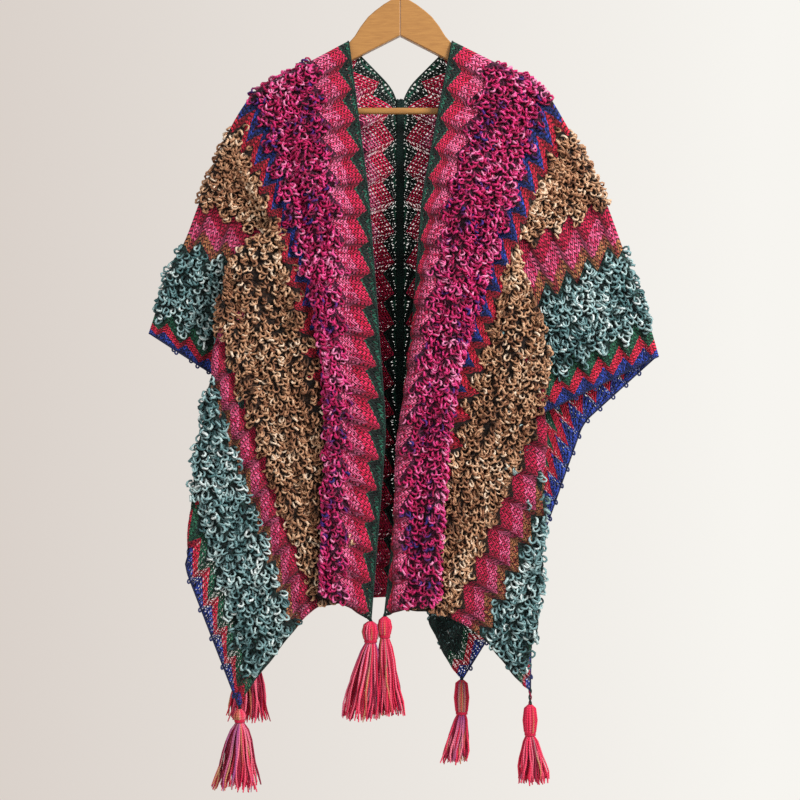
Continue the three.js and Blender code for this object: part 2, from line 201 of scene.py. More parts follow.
@dataclass(frozen=True)
class RibTable:
    """The ribs of a half panel, each with its top, middle, low and hem point.

    Attributes:
        rows: place across, top x and drop, then x, y and drop of the three lower points.
    """

    rows: tuple[tuple[float, ...], ...]

    def at(self, across: Array) -> tuple[Array, Array]:
        """Reads the ribs at places across the cut, with the turns between ribs rounded.

        Args:
            across: the places, in one row.

        Returns:
            How far down the cut each of the four points lies, and their x, y and drop.
        """
        table = np.array(self.rows, float)
        places, values = table[:, 0], table[:, 1:]
        spans = np.diff(places)[:, None]
        slopes = np.diff(values, axis=0) / spans
        areas = np.cumsum((values[1:] + values[:-1]) / 2.0 * spans, axis=0)
        areas = np.vstack([np.zeros((1, values.shape[1])), areas])

        def area(at: Array) -> Array:
            """Returns the area under the straight runs, up to each place."""
            i = np.clip(np.searchsorted(places, at) - 1, 0, len(places) - 2)
            t = (at - places[i])[:, None]
            return areas[i] + values[i] * t + slopes[i] * t * t / 2.0

        mean = (area(across + SIDE_BEND) - area(across - SIDE_BEND)) / (2.0 * SIDE_BEND)
        fold = np.full(len(across), SHOULDER_HALF)
        top = np.stack([mean[:, 0], fold, mean[:, 1]], axis=1)
        points = np.stack([top, mean[:, 2:5], mean[:, 5:8], mean[:, 8:11]], axis=1)
        runs = np.linalg.norm(np.diff(points[:, :, [0, 2]], axis=1), axis=2)
        length = PANEL_LENGTH - SHOULDER_HALF
        low = length - runs[:, 2]
        mid = low * runs[:, 0] / (runs[:, 0] + runs[:, 1])
        stops = np.stack([np.zeros_like(low), mid, low, np.full_like(low, length)], axis=1)
        return stops, points


LEFT_FRONT = RibTable((
    (0, 69, 59, 42, 30, 270, 19, 42, 580, 39, 42, 833),
    (51, 112, 82, 84, 38, 270, 74, 47, 580, 73, 46, 811),
    (93, 147, 100, 112, 42, 275, 99, 50, 560, 117, 49, 795),
    (120, 170, 113, 128, 29, 285, 90, 43, 560, 95, 44, 797),
    (151, 196, 127, 150, 37, 295, 54, 37, 560, 66, 40, 802),
    (188, 224, 170, 167, 40, 320, 96, 33, 560, 34, 35, 806),
    (240, 247, 224, 150, 26, 290, 232, 41, 330, 64, 28, 809),
    (298, 268, 275, 138, 26, 338, 247, 42, 435, 113, 32, 815),
    (348, 287, 328, 128, 26, 405, 256, 43, 500, 139, 40, 843),
    (393, 314, 378, 126, 26, 470, 266, 43, 556, 170, 43, 884),
    (438, 328, 427, 128, 26, 540, 281, 42, 648, 202, 42, 924),
    (482, 336, 451, 138, 26, 578, 288, 40, 752, 212, 40, 949),
))

RIGHT_FRONT = RibTable((
    (0, 70, 59, 30, 30, 270, 8, 33, 600, -20, 40, 827),
    (26, 94, 71, 47, 34, 270, -12, 42, 600, -9, 43, 823),
    (51, 118, 83, 60, 38, 270, 4, 47, 600, -2, 46, 818),
    (100, 166, 107, 100, 42, 275, 63, 50, 600, 51, 50, 812),
    (125, 180, 116, 124, 37, 285, 54, 43, 600, 40, 44, 812),
    (151, 196, 127, 146, 39, 295, 34, 38, 590, 22, 41, 815),
    (188, 224, 176, 168, 40, 310, 72, 35, 600, 0, 35, 818),
    (240, 251, 222, 140, 26, 295, 197, 41, 415, 34, 28, 822),
    (298, 276, 276, 118, 26, 350, 197, 42, 536, 70, 32, 830),
    (348, 297, 335, 124, 26, 440, 196, 43, 667, 108, 40, 852),
    (438, 335, 443, 128, 25, 546, 185, 43, 845, 158, 42, 914),
    (482, 346, 482, 128, 24, 588, 172, 32, 780, 172, 38, 926),
))

LEFT_BACK = RibTable((
    (0, 69, 59, 3, 30, 122, 3, 44, 480, 3, 44, 812),
    (51, 112, 82, 54, 36, 165, 54, 48, 480, 52, 48, 813),
    (96, 149, 101, 98, 40, 215, 97, 50, 490, 98, 50, 813),
    (151, 196, 127, 142, 37, 260, 66, 43, 560, 62, 43, 812),
    (193, 227, 180, 176, 38, 300, 104, 36, 580, 30, 36, 812),
    (240, 247, 224, 150, 26, 290, 226, 41, 340, 72, 28, 812),
    (298, 268, 275, 138, 26, 338, 241, 42, 440, 118, 34, 814),
    (348, 287, 328, 128, 26, 405, 248, 43, 510, 150, 40, 821),
    (438, 328, 427, 128, 26, 540, 262, 42, 650, 192, 42, 847),
    (482, 336, 451, 138, 26, 578, 262, 40, 700, 206, 40, 860),
))

RIGHT_BACK = RibTable((
    (0, 70, 59, 3, 30, 122, 3, 44, 480, 3, 44, 812),
    (51, 118, 83, 55, 36, 165, 54, 48, 480, 50, 49, 813),
    (96, 162, 105, 102, 40, 215, 98, 51, 490, 90, 52, 815),
    (151, 196, 127, 146, 38, 270, 66, 43, 560, 60, 44, 817),
    (193, 227, 180, 178, 39, 300, 108, 36, 580, 38, 37, 819),
    (240, 251, 222, 140, 26, 295, 190, 41, 415, 58, 33, 821),
    (298, 277, 276, 118, 26, 350, 188, 43, 520, 82, 30, 823),
    (351, 298, 338, 124, 26, 430, 183, 43, 560, 33, 26, 831),
    (438, 335, 443, 190, 25, 525, 172, 34, 720, 66, 22, 900),
    (482, 346, 482, 250, 18, 570, 180, 28, 770, 84, 20, 922),
))


class Shade:
    """A material's shader nodes, with short calls that add a node and join it up."""

    def __init__(self, name: str) -> None:
        """Makes an empty material of that name with a principled surface."""
        self.material = bpy.data.materials.new(name)
        self.material.use_nodes = True
        self.tree = self.material.node_tree
        self.tree.nodes.clear()
        self.out = self.node("ShaderNodeOutputMaterial")
        self.surface = self.node("ShaderNodeBsdfPrincipled")
        self.join(self.surface.outputs["BSDF"], self.out.inputs["Surface"])

    def node(self, kind: str, **settings: object) -> bpy.types.Node:
        """Adds a node and gives it these settings."""
        made = self.tree.nodes.new(kind)
        for key, value in settings.items():
            setattr(made, key, value)
        return made

    def join(self, source: object, target: Socket) -> None:
        """Links a socket to a target, or sets the target to a plain number."""
        if isinstance(source, Socket):
            self.tree.links.new(source, target)
        else:
            target.default_value = source

    def math(self, operation: str, a: object, b: object = 0.0) -> Socket:
        """Adds a math node on two sockets or numbers and returns its result."""
        made = self.node("ShaderNodeMath", operation=operation)
        self.join(a, made.inputs[0])
        self.join(b, made.inputs[1])
        return made.outputs[0]

    def ease(self, value: object, low: float, high: float) -> Socket:
        """Maps a value to 0 at low and 1 at high, smoothly and kept in that range."""
        made = self.node("ShaderNodeMapRange", interpolation_type="SMOOTHSTEP")
        self.join(value, made.inputs["Value"])
        made.inputs["From Min"].default_value = low
        made.inputs["From Max"].default_value = high
        return made.outputs["Result"]

    def mix(self, share: object, a: object, b: object, how: str = "MIX") -> Socket:
        """Mixes two colours and returns the mixed one."""
        made = self.node("ShaderNodeMix", data_type="RGBA", blend_type=how)
        self.join(share, made.inputs[0])
        self.join(a, made.inputs[6])
        self.join(b, made.inputs[7])
        return made.outputs[2]

    def ramp(
        self, at: object, stops: Sequence[tuple[float, str]], steps: bool = False
    ) -> Socket:
        """Adds a colour ramp.

        Args:
            at: the socket that it is read at.
            stops: each place from 0 to 1 and its hex colour.
            steps: whether each colour holds until the next stop.

        Returns:
            The ramp's colour.
        """
        made = self.node("ShaderNodeValToRGB")
        bar = made.color_ramp
        bar.interpolation = "CONSTANT" if steps else "LINEAR"
        while len(bar.elements) < len(stops):
            bar.elements.new(0.5)
        for element, (place, _) in zip(bar.elements, stops):
            element.position = place
        for element, (_, code) in zip(bar.elements, stops):
            element.color = linear(code)
        self.join(at, made.inputs["Fac"])
        return made.outputs["Color"]

    def noise(self, vector: object, scale: float, detail: float = 2.0) -> Socket:
        """Adds a noise texture over a vector and returns its value."""
        made = self.node("ShaderNodeTexNoise")
        self.join(vector, made.inputs["Vector"])
        made.inputs["Scale"].default_value = scale
        made.inputs["Detail"].default_value = detail
        return made.outputs["Fac"]

    def vector(self, x: object, y: object, z: object = 0.0) -> Socket:
        """Joins three values into a vector."""
        made = self.node("ShaderNodeCombineXYZ")
        for source, target in zip((x, y, z), made.inputs):
            self.join(source, target)
        return made.outputs[0]

    def place(self, layer: str) -> tuple[Socket, Socket]:
        """Returns the two coordinates of a mesh's UV layer, in millimetres."""
        layer_node = self.node("ShaderNodeUVMap", uv_map=layer)
        parts = self.node("ShaderNodeSeparateXYZ")
        self.join(layer_node.outputs[0], parts.inputs[0])
        across = self.math("MULTIPLY", parts.outputs[0], 1000.0)
        return across, self.math("MULTIPLY", parts.outputs[1], 1000.0)

    def field(self, name: str) -> Socket:
        """Returns a number that each vertex of the mesh carries."""
        return self.node("ShaderNodeAttribute", attribute_name=name).outputs["Fac"]

    def bump(self, height: object, strength: float, depth: float) -> None:
        """Gives the surface a bump of a height from 0 to 1, depth metres deep."""
        made = self.node("ShaderNodeBump")
        made.inputs["Strength"].default_value = strength
        made.inputs["Distance"].default_value = depth
        self.join(height, made.inputs["Height"])
        self.join(made.outputs[0], self.surface.inputs["Normal"])

    def set(self, **values: object) -> None:
        """Sets the surface's own inputs, named with underscores for spaces."""
        for key, value in values.items():
            self.join(value, self.surface.inputs[key.replace("_", " ")])


@dataclass(frozen=True)
class Stripe:
    """One stripe of a panel.

    Attributes:
        start: its place across, where the stripe before it ends.
        main: the colour of most of its yarn.
        other: the colour of the streaks in it.
        close: how closed its knit is on the long side of a tooth.
        close_short: the same on the short side.
    """

    start: float
    main: str
    other: str
    close: float
    close_short: float


STRIPES = (
    Stripe(0, "24604c", "16382e", 0.97, 0.90),
    Stripe(4, "0e1413", "1a2c27", 0.50, 0.40),
    Stripe(9.5, "2b6a54", "184034", 0.97, 0.95),
    Stripe(13, "c00838", "e02858", 0.97, 0.80),
    Stripe(30, "b80c48", "f8709e", 0.92, 0.74),
    Stripe(51, "3c0a28", "6a1040", 0.96, 0.92),
    Stripe(151, "2c48b4", "1a2868", 0.72, 0.50),
    Stripe(167, "b00c2c", "d4203e", 0.88, 0.60),
    Stripe(183, "3e2210", "2a160a", 0.94, 0.92),
    Stripe(298, "9a0830", "c41c48", 0.90, 0.62),
    Stripe(316, "b81c4e", "e4608c", 0.88, 0.58),
    Stripe(334, "8a2830", "ac7048", 0.86, 0.58),
    Stripe(348, "122826", "20403a", 0.95, 0.92),
    Stripe(438, "14402f", "2c6a4e", 0.80, 0.30),
    Stripe(452, "c00c30", "e02a4a", 0.84, 0.30),
    Stripe(467, "3450bc", "1c2a6c", 0.76, 0.30),
)


@dataclass(frozen=True)
class StitchPlace:
    """Sockets that say where in its stitch a point of the knit lies.

    Attributes:
        beside: 0 on an arm's middle line and 1 half way to the next arm.
        arm: 0 at a stitch's root and 1 where its two arms meet.
        cell: a vector that differs from arm to arm.
    """

    beside: Socket
    arm: Socket
    cell: Socket


@dataclass(frozen=True)
class KnitFinish:
    """The knit of a panel: stripes of coloured yarn on a black ground, with open stitches and
    painted shade in the grooves and on the teeth's short sides.

    Attributes:
        name: the material's name.
        black: how far the grooves between the arms and rows darken towards near-black: the black
            ground yarn, with painted shade in the grooves.
        short_side_shade: how much painted shade darkens the short side of a tooth.
        slant: how far a stitch's arm leans, in rows.
        course: the height of a row of stitches.
        wale: the width of a stitch.
        wander: how far the stitches wander from their even places.
        fray: how ragged an arm's edge is.
    """

    name: str
    black: float
    short_side_shade: float
    slant: float
    course: float
    wale: float
    wander: float = 5.0
    fray: float = 0.5

    def stitch(self, shade: Shade, across: Socket, down: Socket, fibre: Socket) -> StitchPlace:
        """Lays rows of stitches over the cut.

        Args:
            shade: the material that the nodes are added to.
            across: the place across the cut.
            down: the place down the cut.
            fibre: a fine noise that frays the arms' edges.

        Returns:
            Where in its stitch each point lies.
        """
        uneven = shade.noise(shade.vector(across, down), 0.11)
        drift = shade.math("MULTIPLY", shade.math("SUBTRACT", uneven, 0.5), self.wander)
        fray = shade.math("MULTIPLY", shade.math("SUBTRACT", fibre, 0.5), self.fray)
        wale = shade.math("DIVIDE", shade.math("ADD", down, drift), self.wale)
        arm = shade.math("MULTIPLY", shade.math("PINGPONG", wale, 0.5), 2.0)
        lean = shade.math("MULTIPLY", arm, self.slant)
        course = shade.math("ADD", shade.math("DIVIDE", across, self.course), lean)
        off_line = shade.math("MULTIPLY", shade.math("PINGPONG", course, 0.5), 2.0)
        cell = shade.vector(shade.math("FLOOR", shade.math("ADD", course, 0.5)),
                            shade.math("FLOOR", shade.math("MULTIPLY", wale, 2.0)))
        return StitchPlace(shade.math("ADD", off_line, fray), arm, cell)

    def yarn(self, shade: Shade, across: Socket, down: Socket, cell: Socket) -> Socket:
        """Colours the stitches by stripe, each arm with its own share of the second yarn.

        Args:
            shade: the material that the nodes are added to.
            across: the place across the cut.
            down: the place down the cut.
            cell: a vector that differs from arm to arm.

        Returns:
            The yarn's colour.
        """
        share = shade.math("DIVIDE", across, PANEL_WIDTH)
        main = shade.ramp(share, [(s.start / PANEL_WIDTH, s.main) for s in STRIPES], True)
        other = shade.ramp(share, [(s.start / PANEL_WIDTH, s.other) for s in STRIPES], True)
        chance = shade.node("ShaderNodeTexWhiteNoise")
        shade.join(cell, chance.inputs["Vector"])
        dye = shade.noise(shade.vector(across, down), 0.13, 2.0)
        bright = shade.math("ADD", shade.math("MULTIPLY", chance.outputs["Value"], 0.5), dye)
        return shade.mix(shade.ease(bright, 0.5, 0.9), main, other)

    def hole(self, shade: Shade, stitch: StitchPlace) -> Socket:
        """Returns 1 in a hole of the open knit, between two arms, and 0 on the yarn."""
        closed = shade.field("closed")
        limit = shade.math("ADD", shade.math("MULTIPLY", closed, 0.62), 0.38)
        slit = shade.math("GREATER_THAN", stitch.beside, limit)
        thread = shade.math("ADD", shade.math("MULTIPLY", closed, 0.5), 0.2)
        between = shade.math("LESS_THAN", stitch.arm, shade.math("SUBTRACT", 1.0, thread))
        return shade.math("MULTIPLY", slit, between)

    def material(self) -> Material:
        """Builds the knit's shader over the cut's coordinates and returns its material."""
        shade = Shade(self.name)
        across, down = shade.place("cut")
        fibre = shade.noise(shade.vector(across, down), 1.1, 3.0)
        stitch = self.stitch(shade, across, down, fibre)
        tip = shade.math("MULTIPLY", shade.ease(stitch.arm, 0.74, 1.0), 0.9)
        edge = shade.math("MAXIMUM", stitch.beside, tip)
        # Black ground yarn with painted shade: the grooves between arms and rows, where the bump is
        # low, go near-black.
        groove = shade.math("MULTIPLY", shade.ease(edge, 0.46, 0.8), self.black)
        colour = self.yarn(shade, across, down, stitch.cell)
        colour = shade.mix(groove, colour, linear(GROUND_YARN_AND_GROOVE_SHADE))
        # Painted shade: the short side of each tooth, which faces down, is darkened towards black.
        short_side_shade = shade.math("MULTIPLY", shade.field("short_side"), self.short_side_shade)
        colour = shade.mix(short_side_shade, colour, shade.mix(0.8, colour, BLACK))
        shade.set(Base_Color=colour, Roughness=0.85, Sheen_Weight=0.05, Sheen_Roughness=0.5)
        shade.set(Specular_IOR_Level=0.3)
        shade.set(Alpha=shade.math("SUBTRACT", 1.0, self.hole(shade, stitch)))
        height = shade.math("SUBTRACT", 1.0, shade.math("MULTIPLY", edge, edge))
        shade.bump(shade.math("ADD", height, shade.math("MULTIPLY", fibre, 0.3)), 0.9, 0.0014)
        return shade.material


@dataclass(frozen=True)
class YarnFinish:
    """A soft plied yarn whose colour changes from piece to piece along a dye run.

    Attributes:
        name: the material's name.
        colours: the dye run, from the darkest place to the lightest.
        ply_groove_shade: how much painted shade darkens the second ply, where the twist's bump is
            low.
        root: how much painted shade darkens the yarn where it leaves the cloth.
    """

    name: str
    colours: tuple[tuple[float, str], ...]
    ply_groove_shade: float = 0.35
    root: float = 0.5

    def material(self) -> Material:
        """Builds the yarn's shader and returns its material."""
        shade = Shade(self.name)
        around, along = shade.place("yarn")
        dye = shade.ramp(shade.field("tone"), self.colours)
        twist = shade.math("MULTIPLY", shade.math("ADD", around, along), TURN / YARN_GIRTH)
        ply = shade.math("SINE", twist)
        # Painted shade in the twist: the band where the bump is low is darkened.
        dark = shade.math("MULTIPLY", shade.ease(ply, 0.1, 0.9), self.ply_groove_shade)
        colour = shade.mix(dark, dye, shade.mix(0.7, dye, BLACK))
        fibre = shade.noise(shade.vector(shade.math("MULTIPLY", around, 3.0), along), 1.3, 3.0)
        # Painted shade between the fibres: the yarn is darkened where the fibre bump is low.
        between = shade.ease(fibre, 0.75, 0.3)
        colour = shade.mix(between, colour, shade.mix(0.25, colour, BLACK))
        # Painted shade: the yarn is darkened towards black where it leaves the cloth.
        depth = shade.math("MULTIPLY", shade.math("SUBTRACT", 1.0, shade.field("reach")), self.root)
        colour = shade.mix(depth, colour, BLACK)
        shade.set(Base_Color=colour, Roughness=0.8, Sheen_Weight=0.06, Sheen_Roughness=0.45)
        shade.set(Specular_IOR_Level=0.3)
        hair = shade.math("MULTIPLY", fibre, 0.6)
        height = shade.math("ADD", shade.math("MULTIPLY", ply, -0.5), hair)
        shade.bump(height, 0.6, 0.0006)
        return shade.material


@dataclass(frozen=True)
class WoodFinish:
    """Satin varnished honey wood with fine grain along the arms.

    Attributes:
        name: the material's name.
        light: the colour between the grain lines.
        dark: the colour of the grain.
    """

    name: str
    light: str
    dark: str

    def grain(self, shade: Shade, along: float, across: float, detail: float) -> Socket:
        """Adds noise that is drawn out along the wood.

        Args:
            shade: the material that it is added to.
            along: its scale along the wood.
            across: its scale across the wood.
            detail: how fine it gets.

        Returns:
            The noise's value.
        """
        parts = shade.node("ShaderNodeSeparateXYZ")
        shade.join(shade.node("ShaderNodeTexCoord").outputs["Object"], parts.inputs[0])
        scaled = [shade.math("MULTIPLY", part, scale)
                  for part, scale in zip(parts.outputs, (along, across, across))]
        return shade.noise(shade.vector(*scaled), 1.0, detail)

    def material(self) -> Material:
        """Builds the wood's shader and returns its material."""
        shade = Shade(self.name)
        drift = self.grain(shade, 14.0, 90.0, 3.0)
        fine = self.grain(shade, 60.0, 900.0, 4.0)
        rings = shade.math("SINE", shade.math("MULTIPLY", drift, 42.0))
        share = shade.math("ADD", shade.math("MULTIPLY", rings, 0.07), fine)
        colour = shade.mix(shade.ease(share, 0.25, 0.85), linear(self.light), linear(self.dark))
        shade.set(Base_Color=colour, Roughness=0.42, Coat_Weight=0.3, Coat_Roughness=0.25)
        shade.bump(share, 0.25, 0.0003)
        return shade.material


@dataclass(frozen=True)
class WireFinish:
    """Polished steel wire with faint drawing lines.

    Attributes:
        name: the material's name.
        colour: its hex colour.
    """

    name: str
    colour: str

    def material(self) -> Material:
        """Builds the wire's shader and returns its material."""
        shade = Shade(self.name)
        place = shade.node("ShaderNodeTexCoord").outputs["Object"]
        marks = shade.noise(place, 900.0, 3.0)
        shade.set(Base_Color=linear(self.colour), Metallic=1.0)
        rough = shade.math("ADD", shade.math("MULTIPLY", marks, 0.18), 0.14)
        shade.set(Roughness=rough)
        shade.bump(marks, 0.1, 0.0001)
        return shade.material


PINK_YARN = YarnFinish("pink_loop_yarn", (
    (0.0, "2a2478"), (0.14, "5c2080"), (0.28, "86104e"), (0.46, "b40c4e"),
    (0.64, "da2070"), (0.82, "f2529c"), (1.0, "fc9ac4"),
), 0.3, 0.8)
TAN_YARN = YarnFinish("tan_loop_yarn", (
    (0.0, "5e3a24"), (0.3, "986446"), (0.6, "c8946e"), (0.85, "ecc09a"), (1.0, "fae0c4"),
), 0.3, 0.85)
TEAL_YARN = YarnFinish("teal_loop_yarn", (
    (0.0, "1c3a3c"), (0.3, "507a7c"), (0.6, "92b6b8"), (0.85, "c4dcda"), (1.0, "eef8f6"),
), 0.3, 0.85)
TASSEL_YARN = YarnFinish("tassel_yarn", (
    (0.0, "8e1038"), (0.16, "c4143e"), (0.34, "e8244e"), (0.5, "f44468"), (0.66, "f87c94"),
    (0.78, "9e4488"), (0.88, "cc9464"), (1.0, "dc2450"),
), 0.3, 0.0)
DARK_CORD = YarnFinish("dark_edge_yarn", (
    (0.0, "0a1412"), (0.35, "12302a"), (0.5, "141830"), (0.8, "2a3878"), (1.0, "8e1430"),
), 0.4, 0.0)
KNIT_FACE = KnitFinish("panel_knit_face", 0.96, 0.8, 0.95, 5.0, 6.8)
KNIT_INSIDE = KnitFinish("panel_knit_inside", 0.98, 0.2, 0.3, 3.7, 5.4)


def build_mesh(
    name: str,
    points: Array,
    quads: Array,
    layer: str,
    places: Array,
    fields: dict[str, Array],
    finishes: Sequence[Material],
    slots: Array | None = None,
) -> bpy.types.Object:
    """Makes a smooth mesh object of quads and puts it in the scene.

    Args:
        name: the object's name.
        points: its vertices, in millimetres.
        quads: four vertex numbers for each face.
        layer: the name of its UV layer.
        places: the UV place of each corner of each face, in millimetres.
        fields: numbers that each vertex carries, by name.
        finishes: its materials.
        slots: the material of each face, where there are several.

    Returns:
        The object, which rides on the frame's body.
    """
    mesh = bpy.data.meshes.new(name)
    mesh.vertices.add(len(points))
    mesh.vertices.foreach_set("co", (points / 1000.0).astype(np.float32).ravel())
    mesh.loops.add(quads.size)
    mesh.loops.foreach_set("vertex_index", quads.astype(np.int32).ravel())
    mesh.polygons.add(len(quads))
    mesh.polygons.foreach_set("loop_start", np.arange(0, quads.size, 4, dtype=np.int32))
    mesh.update(calc_edges=True)
    mesh.uv_layers.new(name=layer)
    uv = (places / 1000.0).astype(np.float32)
    mesh.uv_layers[layer].data.foreach_set("uv", uv.ravel())
    for key, values in fields.items():
        attribute = mesh.attributes.new(key, "FLOAT", "POINT")
        attribute.data.foreach_set("value", values.astype(np.float32).ravel())
    for finish in finishes:
        mesh.materials.append(finish)
    if slots is not None:
        mesh.polygons.foreach_set("material_index", slots.astype(np.int32))
    mesh.polygons.foreach_set("use_smooth", np.ones(len(quads), bool))
    mesh.update()
    made = bpy.data.objects.new(name, mesh)
    bpy.context.scene.collection.objects.link(made)
    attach(made, "root")
    return made


@dataclass(frozen=True)
class YarnRun:
    """Many yarns of the same make, each a tube along its own path.

    Attributes:
        paths: the paths, as (yarns, points, 3), in millimetres.
        radii: the radius at each point of each path.
        reference: a direction for each yarn that its path never runs along.
        tones: the place in the dye run at each point of each path.
        reach: how far out of the cloth each point is, 0 to 1.
        sides: the number of sides of a tube.
    """

    paths: Array
    radii: Array
    reference: Array
    tones: Array
    reach: Array
    sides: int

    def build(self, name: str, finish: Material) -> bpy.types.Object:
        """Builds all the tubes as one object.

        Args:
            name: the object's name.
            finish: its material.

        Returns:
            The object.
        """
        yarns, count, _ = self.paths.shape
        tangents = unit(np.gradient(self.paths, axis=1))
        reference = np.repeat(self.reference[:, None, :], count, axis=1)
        first = unit(np.cross(tangents, reference))
        second = np.cross(tangents, first)
        angles = TURN * np.arange(self.sides) / self.sides
        ring = (first[:, :, None, :] * np.cos(angles)[None, None, :, None]
                + second[:, :, None, :] * np.sin(angles)[None, None, :, None])
        points = self.paths[:, :, None, :] + ring * self.radii[:, :, None, None]
        index = np.arange(yarns * count * self.sides).reshape(yarns, count, self.sides)
        turned = np.roll(index, -1, axis=2)
        quads = np.stack([index[:, :-1], turned[:, :-1], turned[:, 1:], index[:, 1:]], axis=-1)
        steps = np.linalg.norm(np.diff(self.paths, axis=1), axis=2)
        along = np.concatenate([np.zeros((yarns, 1)), np.cumsum(steps, axis=1)], axis=1)
        girth = YARN_GIRTH * np.arange(self.sides + 1) / self.sides
        shape = (yarns, count - 1, self.sides)
        around = [np.broadcast_to(girth[:-1], shape), np.broadcast_to(girth[1:], shape)]
        start = np.broadcast_to(along[:, :-1, None], shape)
        end = np.broadcast_to(along[:, 1:, None], shape)
        places = np.stack([
            np.stack([around[0], start], -1), np.stack([around[1], start], -1),
            np.stack([around[1], end], -1), np.stack([around[0], end], -1),
        ], axis=3)
        fields = {
            "tone": np.repeat(self.tones[:, :, None], self.sides, axis=2),
            "reach": np.repeat(self.reach[:, :, None], self.sides, axis=2),
        }
        return build_mesh(name, points.reshape(-1, 3), quads.reshape(-1, 4), "yarn",
                          places.reshape(-1, 2), fields, [finish])


@dataclass(frozen=True)
class Stretch:
    """Where the cloth's own weight pulls its stitches open.

    Attributes:
        centre: the stripe places between which the centre back's pull ends.
        centre_down: the places down the cut between which it eases off.
        centre_ease: the share of it that is gone below them.
        open_long: how closed the pulled knit is on the long side of a tooth.
        open_short: how much less closed it is on the short side.
        edge: the stripe places between which the outer edge's pull starts.
        edge_down: the places down the cut between which it grows.
        edge_pull: how much of the knit it opens.
    """

    centre: tuple[float, float] = (44.0, 56.0)
    centre_down: tuple[float, float] = (240.0, 400.0)
    centre_ease: float = 0.7
    open_long: float = 0.34
    open_short: float = 0.14
    edge: tuple[float, float] = (434.0, 442.0)
    edge_down: tuple[float, float] = (430.0, 620.0)
    edge_pull: float = 0.5


STRETCH = Stretch()


